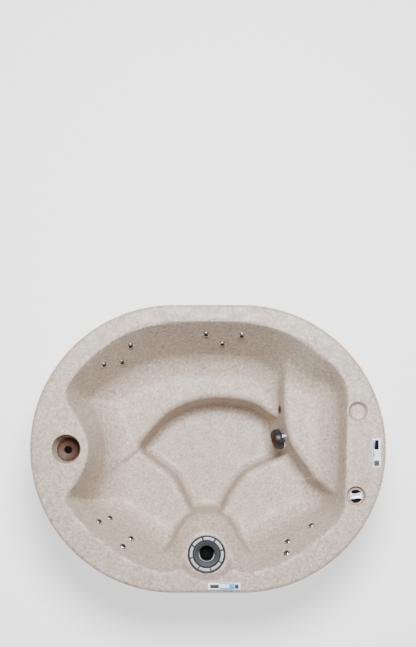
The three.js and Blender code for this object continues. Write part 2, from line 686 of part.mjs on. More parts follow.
// A drain spigot through the cabinet's south side, with a screw cap, and a gland for the supply.
const DRAIN = { neck: 14, flange: 24, thread: 11 };
const GLAND_NECK = 10;
function addDrainAndGland() {
  const { neck, flange, thread } = DRAIN;
  const end = 17; // how far the spigot's thread stands out
  const spigot = [
    [0, -40], [neck, -40], [neck, GAP], [flange, GAP], [flange, 4], [thread, 4], [thread, end], [0, end],
  ];
  const cap = [
    [thread + GAP, 6], [18, 6], [18, end + 4], [0, end + 4], [0, end + GAP], [thread + GAP, end + GAP],
    [thread + GAP, 6],
  ];
  const gland = [
    [0, -18], [GLAND_NECK, -18], [GLAND_NECK, GAP], [17, GAP], [17, 6], [13, 14], [7, 16], [0, 16],
  ];
  add("drain_spigot", onSouthSide(turned(spigot, 12), 0, DRAIN_Z), "grey_plastic");
  add("drain_cap", onSouthSide(turned(cap, 12), 0, DRAIN_Z), "black_plastic");
  add("supply_gland", onEastEnd(turned(gland, 12), GLAND.y, GLAND.z), "black_plastic");
}

function addBase() {
  const radius = CABINET_RADIUS + 8;
  const floor = solid(obround(radius, 0, TRAY_FLOOR));
  const tray = floor.add(solid(obround(radius, TRAY_FLOOR - 1, TRAY_EDGE, radius - 22)));
  add("base_tray", geometryOf(tray), "black_plastic");
  const under = FLOOR_Z - WALL - 2;
  add("footwell_foam", box(520, 330, under - TRAY_FLOOR - GAP, 20, 60, TRAY_FLOOR + GAP), "foam");
}

// ---------------------------------------------------------------- equipment bay

// The pump lies along Y on the tray behind the door: a motor, a wet end and an impeller in it. The
// heater lies over it, and the control box stands beside it.
const PUMP = { x: 850, y: 60, z: 118, motor: 72, length: 230, wetEnd: 88, wetDepth: 70 };
const HEATER = { x: 800, z: 300, radius: 34, length: 340 };
const CONTROL_BOX = { x: 790, y: -330, width: 130, depth: 190, height: 230 };

function alongY(geometry, y) {
  return geometry.clone().rotateX(Math.PI / 2).translate(PUMP.x, y, PUMP.z);
}

function addPump() {
  const { motor, length, wetEnd, wetDepth } = PUMP;
  const footTop = PUMP.z - 40;
  const footLow = TRAY_FLOOR + GAP;
  const foot = solid(box(110, length - 60, footTop - footLow, PUMP.x, PUMP.y + length / 2, footLow));
  const barrel = solid(alongY(cylinder(motor, -length, 0, 24), PUMP.y));
  const shaft = solid(alongY(cylinder(7, 0, 45, 12), PUMP.y));
  add("pump_motor", geometryOf(foot.add(barrel).add(shaft)), "painted_motor");
  const shell = 8; // wall of the wet end
  const volute = [
    [9, 1], [wetEnd, 1], [wetEnd, wetDepth], [0, wetDepth], [0, wetDepth - shell],
    [wetEnd - shell - 2, wetDepth - shell], [wetEnd - shell - 2, shell], [9, shell], [9, 1],
  ];
  const outlet = solid(cylinder(24, 60, 120, 16).translate(PUMP.x, PUMP.y - wetDepth / 2, PUMP.z));
  add("pump_wet_end", geometryOf(solid(alongY(turned(volute, 20), PUMP.y)).add(outlet)), "black_plastic");
  const impeller = solid(tube(7.6, 60, 14, 20, 16));
  let wheel = impeller.add(solid(tube(7.6, 16, 12, 44, 12)));
  for (let k = 0; k < 6; k++) {
    wheel = wheel.add(solid(box(38, 4, 18, 34, 0, 19).rotateZ((k * Math.PI) / 3)));
  }
  add("pump_impeller", alongY(geometryOf(wheel), PUMP.y), "grey_plastic");
}

function addHeater() {
  const { x, z, radius, length } = HEATER;
  const shell = cylinder(radius, -length / 2, length / 2, 20).rotateX(Math.PI / 2).translate(x, PUMP.y, z);
  const terminal = box(46, 120, 30, x, PUMP.y, z + radius - 4);
  add("heater", geometryOf(solid(shell).add(solid(terminal))), "steel");
}

function addControlBox() {
  const { x, y, width, depth, height } = CONTROL_BOX;
  const low = TRAY_FLOOR + GAP;
  add("control_box", box(width, depth, height, x, y, low), "grey_plastic");
  add("control_box_lid", box(6, depth + 8, height + 6, x + width / 2 + 3 + GAP, y, low), "black_plastic");
}

addJets();
addLight();
addReturn();
addTub();
addBucket();
addAirControl();
addControlPanel();
addLabel();
addFilter();
addCabinet();
addDrainAndGland();
addBase();
addPump();
addHeater();
addControlBox();

export default part;
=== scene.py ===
# %% [markdown]
# An oval portable spa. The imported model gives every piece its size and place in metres. Here the
# moulded tub gets its smooth surface, each fitting its fine shape, and everything its finish.

# %% Load the frame
import json
import math

import bmesh
import bpy
import numpy as np
from mathutils import Matrix, Vector


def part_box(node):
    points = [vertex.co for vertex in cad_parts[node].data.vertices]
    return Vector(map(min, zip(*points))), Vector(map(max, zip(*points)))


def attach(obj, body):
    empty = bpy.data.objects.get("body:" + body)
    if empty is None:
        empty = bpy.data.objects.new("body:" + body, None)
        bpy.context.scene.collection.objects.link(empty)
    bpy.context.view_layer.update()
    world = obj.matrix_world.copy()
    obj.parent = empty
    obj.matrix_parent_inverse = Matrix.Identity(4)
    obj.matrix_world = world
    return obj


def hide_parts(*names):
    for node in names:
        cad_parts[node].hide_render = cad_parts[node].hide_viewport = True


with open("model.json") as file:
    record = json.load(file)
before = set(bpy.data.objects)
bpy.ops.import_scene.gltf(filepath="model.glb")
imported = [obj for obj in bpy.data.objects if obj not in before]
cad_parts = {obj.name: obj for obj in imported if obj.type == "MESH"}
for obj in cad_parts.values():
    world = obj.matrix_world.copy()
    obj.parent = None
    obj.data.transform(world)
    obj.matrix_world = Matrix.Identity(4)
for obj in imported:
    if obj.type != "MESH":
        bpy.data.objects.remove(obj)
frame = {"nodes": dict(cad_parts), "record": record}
NODES = frame["nodes"]
JOINTS = {joint["name"]: joint for joint in frame["record"]["behaviour"]["joints"]}
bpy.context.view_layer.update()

# %% [markdown]
# Helpers come first. Operators act on whatever is selected, so each piece starts from an empty
# selection, and a finished piece gets its place applied so that its object sits at the origin.

# %% Small helpers
MM = 0.001
SMOOTH_ANGLE = math.radians(35)


def deselect():
    """Leaves nothing selected and nothing in edit mode."""
    if bpy.context.object and bpy.context.object.mode != "OBJECT":
        bpy.ops.object.mode_set(mode="OBJECT")
    bpy.ops.object.select_all(action="DESELECT")


def pick(piece):
    """Selects one object and makes it the active one."""
    deselect()
    piece.select_set(True)
    bpy.context.view_layer.objects.active = piece


def apply_modifiers(piece):
    pick(piece)
    for modifier in list(piece.modifiers):
        bpy.ops.object.modifier_apply(modifier=modifier.name)


def apply_place(piece):
    pick(piece)
    bpy.ops.object.transform_apply(location=True, rotation=True, scale=True)


def finish_piece(piece, name, body, material, slot, *replaced):
    """Names a piece, applies its place, smooths it, and ties it to the frame."""
    piece.name = name
    apply_modifiers(piece)
    apply_place(piece)
    bpy.ops.object.shade_smooth_by_angle(angle=SMOOTH_ANGLE)
    piece.data.materials.clear()
    piece.data.materials.append(material)
    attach(piece, body)
    if replaced:
        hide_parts(*replaced)
    print(name, len(piece.data.polygons), "faces")
    return piece


def face_outwards():
    """Turns every face of the piece in edit mode outwards, and leaves edit mode."""
    bpy.ops.mesh.select_all(action="SELECT")
    bpy.ops.mesh.normals_make_consistent(inside=False)
    bpy.ops.object.mode_set(mode="OBJECT")


def soften(piece, width, segments):
    """Rounds a piece's sharp edges to a width in millimetres."""
    edge = piece.modifiers.new("edge", "BEVEL")
    edge.width = width * MM
    edge.segments = segments
    edge.limit_method = "ANGLE"


def cube(width, depth, height, place=(0, 0, 0), turn=(0, 0, 0)):
    """A cuboid in millimetres round a place in metres, with its place applied."""
    deselect()
    bpy.ops.mesh.primitive_cube_add(size=1)
    piece = bpy.context.object
    piece.scale = (width * MM, depth * MM, height * MM)
    piece.rotation_euler = turn
    piece.location = place
    apply_place(piece)
    return piece


def turned(profile, sides=64):
    """Spins a row of (radius, height) points, in millimetres, round +Z into a closed shape."""
    deselect()
    bpy.ops.mesh.primitive_circle_add(vertices=3, radius=1)
    piece = bpy.context.object
    bpy.ops.object.mode_set(mode="EDIT")
    bpy.ops.mesh.delete(type="VERT")
    mesh = bmesh.from_edit_mesh(piece.data)
    points = [mesh.verts.new((r * MM, 0, z * MM)) for r, z in profile]
    for a, b in zip(points, points[1:]):
        mesh.edges.new((a, b))
    bmesh.update_edit_mesh(piece.data)
    bpy.ops.mesh.select_all(action="SELECT")
    bpy.ops.mesh.spin(steps=sides, angle=2 * math.pi, center=(0, 0, 0), axis=(0, 0, 1))
    bpy.ops.mesh.select_all(action="SELECT")
    bpy.ops.mesh.remove_doubles(threshold=1e-6)
    face_outwards()
    return piece


def turned_ring(profile, sides=64):
    """Spins a profile that stays clear of the middle, after closing it on its first point."""
    return turned(profile + profile[:1], sides)


def rounded(profile, radius, steps=4):
    """Rounds each inner corner of a profile with a short curve of about that radius."""
    out = [profile[0]]
    for before, corner, after in zip(profile, profile[1:], profile[2:]):
        a, c, b = (np.array(p, float) for p in (before, corner, after))
        reach = min(radius, np.linalg.norm(a - c) / 2.1, np.linalg.norm(b - c) / 2.1)
        start = c + (a - c) / np.linalg.norm(a - c) * reach
        end = c + (b - c) / np.linalg.norm(b - c) * reach
        for i in range(steps + 1):
            t = i / steps
            out.append(tuple((1 - t) ** 2 * start + 2 * t * (1 - t) * c + t**2 * end))
    out.append(profile[-1])
    return out


def stand(piece, point, direction):
    """Turns a piece made round +Z to face a direction, and puts its origin at a point."""
    turn = Vector((0, 0, 1)).rotation_difference(Vector(direction)).to_matrix().to_4x4()
    piece.matrix_world = Matrix.Translation(Vector(point)) @ turn


# %% [markdown]
# The camera looks straight down from about seven metres over the rim. It stands nearly over the
# tub's middle, and the frame is shifted so that the tub sits low in an upright picture.

# %% Camera
RIM = 0.8
CAMERA_HEIGHT = 7.0
CAMERA_Y = -0.27
FRAME_LENGTH = 3.869  # what the long side of the picture covers at the rim
FRAME_MIDDLE = 0.7487  # how far north of the tub's middle the picture's middle lies

camera_data = bpy.data.cameras.new("camera")
camera_data.sensor_width = 36
camera_data.lens = camera_data.sensor_width * CAMERA_HEIGHT / FRAME_LENGTH
camera_data.shift_y = (FRAME_MIDDLE - CAMERA_Y) / FRAME_LENGTH
camera = bpy.data.objects.new("camera", camera_data)
camera.location = (0, CAMERA_Y, RIM + CAMERA_HEIGHT)
bpy.context.scene.collection.objects.link(camera)
bpy.context.scene.camera = camera
print("lens", round(camera_data.lens, 1), "shift", round(camera_data.shift_y, 3))

# %% [markdown]
# Most of the spa is rotationally moulded polyethylene. Coloured grains fused into the skin give it
# a sandy speckle, and the mould leaves a faint orange-peel texture. One node group makes both, so
# that the tub and the cabinet share it with their own colours.


# %% Node group: speckle
def new_group(name, inputs, outputs):
    """Starts a shader node group with named float or colour sockets."""
    group = bpy.data.node_groups.new(name, "ShaderNodeTree")
    for direction, sockets in (("INPUT", inputs), ("OUTPUT", outputs)):
        for socket, kind, default in sockets:
            made = group.interface.new_socket(socket, in_out=direction, socket_type=kind)
            if default is not None:
                made.default_value = default
    return group, group.nodes.new("NodeGroupInput"), group.nodes.new("NodeGroupOutput")


FLOAT = "NodeSocketFloat"
COLOUR = "NodeSocketColor"


def noise(tree, vector, scale, detail=2.0, roughness=0.5):
    node = tree.nodes.new("ShaderNodeTexNoise")
    node.inputs["Scale"].default_value = scale
    node.inputs["Detail"].default_value = detail
    node.inputs["Roughness"].default_value = roughness
    tree.links.new(vector, node.inputs["Vector"])
    return node.outputs["Fac"]


def band(tree, value, low, high, to_low=0.0, to_high=1.0):
    """Stretches a value between two limits, clamped."""
    node = tree.nodes.new("ShaderNodeMapRange")
    limits = {"From Min": low, "From Max": high, "To Min": to_low, "To Max": to_high}
    for socket, number in limits.items():
        node.inputs[socket].default_value = number
    tree.links.new(value, node.inputs["Value"])
    return node.outputs["Result"]


def mix_colour(tree, factor, a, b):
    node = tree.nodes.new("ShaderNodeMix")
    node.data_type = "RGBA"
    for socket, value in ((0, factor), (6, a), (7, b)):
        if isinstance(value, bpy.types.NodeSocket):
            tree.links.new(value, node.inputs[socket])
        else:
            node.inputs[socket].default_value = value
    return node.outputs[2]


def build_speckle():
    group, given, result = new_group(
        "moulded_speckle",
        [("Base", COLOUR, (0.6, 0.55, 0.5, 1)), ("Dark", COLOUR, (0.3, 0.27, 0.24, 1)),
         ("Light", COLOUR, (0.9, 0.87, 0.84, 1)), ("Amount", FLOAT, 1.0)],
        [("Color", COLOUR, None), ("Height", FLOAT, None), ("Roughness", FLOAT, None)],
    )
    place = group.nodes.new("ShaderNodeTexCoord").outputs["Object"]
    dark_grains = band(group, noise(group, place, 48, 5, 0.85), 0.5, 0.6)
    light_grains = band(group, noise(group, place, 62, 5, 0.85), 0.51, 0.61)
    fine_grains = band(group, noise(group, place, 300, 2, 0.7), 0.42, 0.62)
    blotches = band(group, noise(group, place, 16, 3), 0.35, 0.65)
    strength = group.nodes.new("ShaderNodeMath")
    strength.operation = "MULTIPLY"
    group.links.new(dark_grains, strength.inputs[0])
    group.links.new(given.outputs["Amount"], strength.inputs[1])
    base, dark = given.outputs["Base"], given.outputs["Dark"]
    toned = mix_colour(group, band(group, blotches, 0, 1, 0, 0.2), base, dark)
    fined = mix_colour(group, band(group, fine_grains, 0, 1, 0, 0.3), toned, dark)
    darkened = mix_colour(group, strength.outputs[0], fined, dark)
    light_share = band(group, light_grains, 0, 1, 0, 0.7)
    lightened = mix_colour(group, light_share, darkened, given.outputs["Light"])
    group.links.new(lightened, result.inputs["Color"])
    group.links.new(noise(group, place, 480, 3, 0.6), result.inputs["Height"])
    group.links.new(band(group, blotches, 0, 1, 0.42, 0.56), result.inputs["Roughness"])
    return group


SPECKLE = build_speckle()
print("speckle group", len(SPECKLE.nodes), "nodes")


# %% [markdown]
# The other finishes are injection-moulded plastics, chrome, an amber lens, pleated fabric, paint and
# brushed steel. Each has its own material, and a shared group gives the smooth ones a little
# unevenness in shade and gloss, as handled plastic has.


# %% Node group: handled surface
def build_handled():
    group, given, result = new_group(
        "handled_surface",
        [("Base", COLOUR, (0.5, 0.5, 0.5, 1)), ("Scale", FLOAT, 60.0), ("Gloss", FLOAT, 0.3)],
        [("Color", COLOUR, None), ("Height", FLOAT, None), ("Roughness", FLOAT, None)],
    )
    place = group.nodes.new("ShaderNodeTexCoord").outputs["Object"]
    wave = group.nodes.new("ShaderNodeTexNoise")
    wave.inputs["Detail"].default_value = 4
    group.links.new(place, wave.inputs["Vector"])
    group.links.new(given.outputs["Scale"], wave.inputs["Scale"])
    shade = group.nodes.new("ShaderNodeHueSaturation")
    group.links.new(given.outputs["Base"], shade.inputs["Color"])
    group.links.new(band(group, wave.outputs["Fac"], 0.3, 0.7, 0.88, 1.08), shade.inputs["Value"])
    vary = group.nodes.new("ShaderNodeMath")
    vary.operation = "MULTIPLY"
    group.links.new(given.outputs["Gloss"], vary.inputs[0])
    group.links.new(band(group, wave.outputs["Fac"], 0.3, 0.7, 0.8, 1.25), vary.inputs[1])
    group.links.new(shade.outputs["Color"], result.inputs["Color"])
    group.links.new(vary.outputs[0], result.inputs["Roughness"])
    group.links.new(noise(group, place, 900, 2), result.inputs["Height"])
    return group


HANDLED = build_handled()
print("handled group", len(HANDLED.nodes), "nodes")


# %% Materials
def new_material(name, group, bump, **sockets):
    """A Principled material whose colour, roughness and bump come from a shared group."""
    material = bpy.data.materials.new(name)
    material.use_nodes = True
    tree = material.node_tree
    shader = tree.nodes["Principled BSDF"]
    made = tree.nodes.new("ShaderNodeGroup")
    made.node_tree = group
    for socket, value in sockets.pop("inputs").items():
        made.inputs[socket].default_value = value
    for socket, value in sockets.items():
        shader.inputs[socket.replace("_", " ")].default_value = value
    lift = tree.nodes.new("ShaderNodeBump")
    lift.inputs["Strength"].default_value = bump
    lift.inputs["Distance"].default_value = 0.0006
    tree.links.new(made.outputs["Color"], shader.inputs["Base Color"])
    tree.links.new(made.outputs["Roughness"], shader.inputs["Roughness"])
    tree.links.new(made.outputs["Height"], lift.inputs["Height"])
    tree.links.new(lift.outputs["Normal"], shader.inputs["Normal"])
    return material


def speckled(name, base, dark, light, amount=0.8):
    inputs = {"Base": (*base, 1), "Dark": (*dark, 1), "Light": (*light, 1), "Amount": amount}
    return new_material(name, SPECKLE, 0.35, inputs=inputs)


def handled(name, base, gloss, bump=0.08, scale=60.0, **sockets):
    inputs = {"Base": (*base, 1), "Gloss": gloss, "Scale": scale}
    return new_material(name, HANDLED, bump, inputs=inputs, **sockets)


TUB_SKIN = speckled("moulded_tub", (0.51, 0.418, 0.342), (0.25, 0.187, 0.14), (0.74, 0.66, 0.595))
CABINET_SKIN = speckled("moulded_cabinet", (0.30, 0.265, 0.235), (0.11, 0.095, 0.08), (0.55, 0.5, 0.46))
BLACK = handled("black_plastic", (0.012, 0.013, 0.015), 0.38)
MATT_BLACK = handled("matt_black_plastic", (0.004, 0.004, 0.005), 0.9, Specular_IOR_Level=0.1)
DARK_GREY = handled("dark_grey_plastic", (0.045, 0.048, 0.055), 0.6)
GREY = handled("grey_plastic", (0.23, 0.24, 0.26), 0.35)
PALE_GREY = handled("pale_grey_plastic", (0.45, 0.49, 0.55), 0.3)
WHITE = handled("white_plastic", (0.93, 0.93, 0.92), 0.35)
CHROME = handled("chrome", (0.72, 0.74, 0.77), 0.1, bump=0.02, Metallic=1.0)
AMBER = handled("amber_lens", (0.06, 0.02, 0.005), 0.5,
                Specular_IOR_Level=0.3, Transmission_Weight=0.1)
DISPLAY = handled("display_glass", (0.004, 0.006, 0.01), 0.08, bump=0.01, Coat_Weight=0.6)
FABRIC = handled("filter_fabric", (0.78, 0.8, 0.82), 0.9, bump=0.4, scale=300.0)
FOAM = handled("support_foam", (0.7, 0.62, 0.42), 0.95, bump=0.5, scale=200.0)
MOTOR_PAINT = handled("motor_paint", (0.035, 0.045, 0.055), 0.42, Metallic=0.2)
BRIGHT = handled("satin_chrome", (0.86, 0.88, 0.9), 0.3, bump=0.03, Metallic=0.35)
STEEL = handled("brushed_steel", (0.55, 0.56, 0.57), 0.32, bump=0.05, scale=400.0, Metallic=1.0)
print("materials", len(bpy.data.materials))

# %% [markdown]
# The tub is one moulding, and nearly all of what is seen. Its surface is worked out as a height over
# the plan: the rim, less a hollow that is bounded by the opening, with a raised seat, a pedestal and
# a footwell, each joined by a leaning wall with a fillet at its top and foot.

# %% Driving sizes of the tub, in millimetres
RIM_Z, FLOOR_Z, SEAT_Z, LOUNGE_Z, HIGH_SEAT_Z, PEDESTAL_Z = 800, 80, 335, 358, 545, 700
END_RADIUS, END_CENTRE, LIP_DROP = 863, 204, 66
SHEET_MIDDLE = 6
SHEET_WALL = 8
FILTER_X, FILTER_Y = -8, -635
NICHE_X, NICHE_Y, NICHE_RADIUS, NICHE_DRAFT = -5, -602, 188, 0.33

OPENING_POINTS = [
    (-5, -690), (144, -716), (215, -738), (300, -731), (480, -664), (670, -532), (800, -395),
    (822, -230), (829, 60), (835, 310), (800, 437), (690, 548), (510, 672), (280, 748), (0, 763),
    (-280, 748), (-500, 682), (-690, 550), (-830, 395), (-843, 290), (-785, 190), (-725, 60),
    (-725, -70), (-790, -205), (-846, -285), (-820, -365), (-690, -508), (-490, -656),
    (-320, -728), (-225, -736), (-153, -714),
]
FOOTWELL_POINTS = [
    (87, -387), (143, -271), (240, -142), (345, -84), (470, -34), (570, 30), (560, 140),
    (416, 228), (300, 305), (160, 338), (10, 342), (-130, 310), (-259, 244), (-360, 140),
    (-437, 24), (-324, -78), (-227, -158), (-163, -271), (-98, -387), (-5, -470),
]
HIGH_SEAT_FRONT = [(-420, 930), (-285, 800), (-174, 667), (60, 512), (340, 473), (604, 500), (760, 530)]
SHOULDER = [(0, -391), (60, -396), (124, -429), (162, -484), (214, -576), (276, -656), (350, -735)]
WALL_DRAFT = [  # how far the outer wall leans, by its bearing from the tub's middle
    (-180, 0.2), (-158, 0.3), (-135, 0.42), (-110, 0.36), (-90, 0.3), (-70, 0.36), (-45, 0.42),
    (-22, 0.26), (0, 0.2), (22, 0.3), (40, 0.6), (52, 0.5), (70, 0.44), (110, 0.44), (135, 0.42),
    (158, 0.3), (180, 0.2),
]
CREASE = [(-700, -190), (-437, 26)]


# %% Curves and distances
def catmull(a, b, c, d, t):
    curved = (2 * a - 5 * b + 4 * c - d) * t**2
    return 0.5 * (2 * b + (c - a) * t + curved + (3 * b - a - 3 * c + d) * t**3)


def closed_curve(points, per_span=6):
    points = np.array(points, float)
    spans = [np.roll(points, shift, axis=0)[:, None] for shift in (1, 0, -1, -2)]
    t = (np.arange(per_span) / per_span)[None, :, None]
    return catmull(*spans, t).reshape(-1, 2)


def through(rows, where):
    """Smooth value through rows of (where, value), held level past both ends."""
    at, value = np.array(rows, float).T
    where = np.clip(where, at[0], at[-1])
    i = np.clip(np.searchsorted(at, where, side="left") - 1, 0, len(at) - 2)
    row = [value[np.clip(i + k, 0, len(at) - 1)] for k in (-1, 0, 1, 2)]
    return catmull(*row, (where - at[i]) / (at[i + 1] - at[i]))


def steepness(rows, where):
    return np.hypot(1, (through(rows, where + 1) - through(rows, where - 1)) / 2)


def inside_by(outline, x, y):
    """Distance to a closed outline, positive inside it."""
    nearest = np.full(x.shape, np.inf)
    inside = np.zeros(x.shape, bool)
    for (ax, ay), (bx, by) in zip(np.roll(outline, 1, axis=0), outline):
        dx, dy = bx - ax, by - ay
        t = np.clip(((x - ax) * dx + (y - ay) * dy) / (dx**2 + dy**2), 0, 1)
        nearest = np.minimum(nearest, np.hypot(x - ax - t * dx, y - ay - t * dy))
        crosses = (ay > y) != (by > y)
        inside ^= crosses & (x < (bx - ax) * (y - ay) / (by - ay if by != ay else 1) + ax)
    return np.where(inside, nearest, -nearest)


OPENING = closed_curve(OPENING_POINTS)
FOOTWELL = closed_curve(FOOTWELL_POINTS)
print("opening", len(OPENING), "points, footwell", len(FOOTWELL), "points")


def step_height(s, top, bottom, draft, top_radius, bottom_radius):
    """Height across a step, with a leaning wall and a round fillet at each end."""
    s, top, bottom, draft = np.broadcast_arrays(s, top, bottom, draft)
    lean = np.arctan(draft)
    reach = np.tan((np.pi / 2 - lean) / 2)
    fall = np.maximum(top - bottom, 1e-6)
    room = np.minimum(1, fall / ((top_radius + bottom_radius) * reach * np.cos(lean)))
    rt, rb = top_radius * room, bottom_radius * room
    foot = -fall * draft
    bend_top = top - rt + np.sqrt(np.maximum(rt**2 - (s - rt * reach) ** 2, 0))
    bend_foot = bottom + rb - np.sqrt(np.maximum(rb**2 - (s - foot + rb * reach) ** 2, 0))
    height = np.where(s > foot - rb * reach, bend_foot, bottom)
    height = np.where(s > foot + rb * reach * np.sin(lean), top + s / draft, height)
    height = np.where(s > -rt * reach * np.sin(lean), bend_top, height)
    height = np.where(s >= rt * reach, top, height)
    return np.where(top <= bottom, bottom, height)


# %% Height of the tub's surface
def seat_height(x, y):
    (ax, ay), (bx, by) = CREASE
    north = ((bx - ax) * (y - ay) - (by - ay) * (x - ax)) / math.hypot(bx - ax, by - ay)
    west = step_height(north, LOUNGE_Z, SEAT_Z, 0.5, 12, 12)
    return np.where(x < -300, west, np.where(y > 0, LOUNGE_Z, SEAT_Z))


def tub_height(x, y):
    x, y = np.asarray(x, float), np.asarray(y, float)
    footwell = step_height(-inside_by(FOOTWELL, x, y), seat_height(x, y), FLOOR_Z, 0.1, 32, 50)
    east = (x - through(HIGH_SEAT_FRONT, y)) / steepness(HIGH_SEAT_FRONT, y)
    with_high_seat = step_height(east, HIGH_SEAT_Z, footwell, 0.2, 30, 60)
    out = np.hypot(x - FILTER_X, y - FILTER_Y)
    collar = step_height(137 - out, PEDESTAL_Z, 470, 0.82, 26, 60)
    aside = np.abs(x - FILTER_X)
    south = (through(SHOULDER, aside) - y) / steepness(SHOULDER, aside)
    with_pedestal = step_height(south, collar, with_high_seat, 0.1, 22, 40)
    draft = through(WALL_DRAFT, np.degrees(np.arctan2(y, x)))
    with_wall = step_height(-inside_by(OPENING, x, y), RIM_Z, with_pedestal, draft, 16, 170)
    in_niche = NICHE_RADIUS - np.hypot(x - NICHE_X, y - NICHE_Y)
    return np.minimum(with_wall, step_height(-in_niche, RIM_Z, PEDESTAL_Z, NICHE_DRAFT, 12, 14))


def tub_normal(x, y, d=4):
    dx = (tub_height(x + d, y) - tub_height(x - d, y)) / (2 * d)
    dy = (tub_height(x, y + d) - tub_height(x, y - d)) / (2 * d)
    return Vector((-float(dx), -float(dy), 1)).normalized()


def obround_reach(angle, radius):
    """How far a ray from the middle runs before it leaves the obround of that end radius."""
    c, s = np.abs(np.cos(angle)), np.abs(np.sin(angle))
    side = radius / np.maximum(s, 1e-9)
    b = END_CENTRE * c
    end = b + np.sqrt(b**2 + radius**2 - END_CENTRE**2)
    return np.where(side * c < END_CENTRE, side, end)


# %% [markdown]
# A round sheet of spokes and rings is laid over the plan. Each spoke spreads its rings evenly along
# the surface, so that a steep wall gets as many as a flat seat, and neighbouring spokes are then
# evened out so that the rings run smoothly. Every point's height comes from the same rule.

# %% Tub sheet
SPOKES = 400
RINGS = 100
LIP_PROFILE = [(0, LIP_DROP), (0, 40), (0, 20), (2, 11), (6, 5), (12, 1.5), (20, 0)]


def evened(table, reach):
    """Averages each row with its neighbours round the circle."""
    return sum(np.roll(table, k, axis=0) for k in range(-reach, reach + 1)) / (2 * reach + 1)


def tub_rings():
    angles = 2 * np.pi * (np.arange(SPOKES) + 0.5) / SPOKES
    start = obround_reach(angles, END_RADIUS - 22)
    share = np.linspace(0, 1, 500)[None, :]
    fine = start[:, None] + (SHEET_MIDDLE - start[:, None]) * share
    heights = tub_height(fine * np.cos(angles)[:, None], fine * np.sin(angles)[:, None])
    run = np.cumsum(np.hypot(np.diff(fine, axis=1), np.diff(heights, axis=1)), axis=1)
    run = np.concatenate([np.zeros((SPOKES, 1)), run], axis=1)
    wanted = np.linspace(0, 1, RINGS)
    radii = np.array([np.interp(wanted * run[k, -1], run[k], fine[k]) for k in range(SPOKES)])
    radii = evened(evened(radii / start[:, None], 3), 3) * start[:, None]
    x, y = radii * np.cos(angles)[:, None], radii * np.sin(angles)[:, None]
    inner = np.stack([x, y, tub_height(x, y)], axis=2)
    lip = []
    for inset, drop in LIP_PROFILE:
        r = obround_reach(angles, END_RADIUS - inset)
        height = np.full(SPOKES, RIM_Z - drop)
        lip.append(np.stack([r * np.cos(angles), r * np.sin(angles), height], axis=1))
    return np.concatenate([np.stack(lip, axis=1), inner], axis=1) * MM


def bent_grid(rings):
    """Adds a grid, bends it into rows of points round a circle, and joins its seam."""
    points = np.concatenate([rings, rings[:1]], axis=0)
    across, along = (count - 1 for count in points.shape[:2])
    deselect()
    bpy.ops.mesh.primitive_grid_add(x_subdivisions=across, y_subdivisions=along, size=2)
    sheet = bpy.context.object
    by_row = np.ascontiguousarray(points.transpose(1, 0, 2)).reshape(-1, 3)
    sheet.data.vertices.foreach_set("co", by_row.ravel())
    sheet.data.update()
    bpy.ops.object.mode_set(mode="EDIT")
    bpy.ops.mesh.select_all(action="SELECT")
    bpy.ops.mesh.remove_doubles(threshold=1e-6)
    return sheet


def lay_sheet(rings):
    """Lays the tub's sheet and fills the small hole that its innermost ring leaves."""
    sheet = bent_grid(rings)
    bpy.ops.mesh.select_all(action="DESELECT")
    bpy.ops.object.mode_set(mode="OBJECT")
    for vertex in sheet.data.vertices:
        vertex.select = math.hypot(vertex.co.x, vertex.co.y) < (SHEET_MIDDLE + 0.5) * MM
    bpy.ops.object.mode_set(mode="EDIT")
    bpy.ops.mesh.select_mode(type="VERT")
    bpy.ops.mesh.edge_face_add()
    face_outwards()
    return sheet


tub = lay_sheet(tub_rings())
if sum(face.normal.z * face.area for face in tub.data.polygons) < 0:
    tub.data.flip_normals()
thick = tub.modifiers.new("wall", "SOLIDIFY")
thick.thickness = SHEET_WALL * MM
thick.offset = -1
apply_modifiers(tub)
print("tub sheet", len(tub.data.polygons), "faces")

# %% [markdown]
# The rim's hollows and the wall's fittings need true round edges, finer than the sheet's own mesh.
# So the cups under the rim are joined to the wall, and each hollow and hole is cut out of it.

# %% Driving sizes of the rim's fittings
BUCKET = {"x": -849, "y": -2, "top": 86, "bottom": 73, "depth": 112}
CUP = {"x": 898, "y": 224, "top": 57, "bottom": 44, "depth": 36}
KNOB = {"x": 886, "y": -282, "top": 56, "bottom": 50, "depth": 30}
CUP_PADS = [(-846, 176), (-846, -166)]
CUP_PAD_RADIUS = 61
FILTER_HOLE = 99
LIGHT = {"y": 84, "z": 400, "radius": 66, "seat": 4}
RETURN = {"y": 262, "z": 430, "radius": 20}
JET_HOLE = 20
JET_JOINTS = [joint for name, joint in JOINTS.items() if name.startswith("jet_")]


def on_front_wall(y, z):
    """Where the high seat's front wall has a height, and the way it faces."""
    low, high = (float(through(HIGH_SEAT_FRONT, np.array(y))) + side for side in (-120, 20))
    while high - low > 0.02:
        middle = (low + high) / 2
        if tub_height(middle, y) < z:
            low = middle
        else:
            high = middle
    return Vector((low, y, z)) * MM, tub_normal(low, y)


LIGHT_POINT, LIGHT_FACING = on_front_wall(LIGHT["y"], LIGHT["z"])
RETURN_POINT, RETURN_FACING = on_front_wall(RETURN["y"], RETURN["z"])
print("light at", LIGHT_POINT, "facing", LIGHT_FACING)


# %% Joining and cutting
def joined(pieces):
    pick(pieces[0])
    for piece in pieces:
        piece.select_set(True)
    bpy.ops.object.join()
    return bpy.context.object


def boolean(piece, tool, operation):
    """Cuts or joins one piece with another, which is used up."""
    made = piece.modifiers.new("boolean", "BOOLEAN")
    made.operation = operation
    made.solver = "EXACT"
    made.object = tool
    apply_modifiers(piece)
    bpy.data.objects.remove(tool)


def drum(radius, low, high, sides=64):
    return turned([(0, low), (radius, low), (radius, high), (0, high)], sides)


def around(radius, angle):
    """A point on a circle round +Z, in metres, from a radius in millimetres."""
    return (radius * MM * math.cos(angle), radius * MM * math.sin(angle), 0)


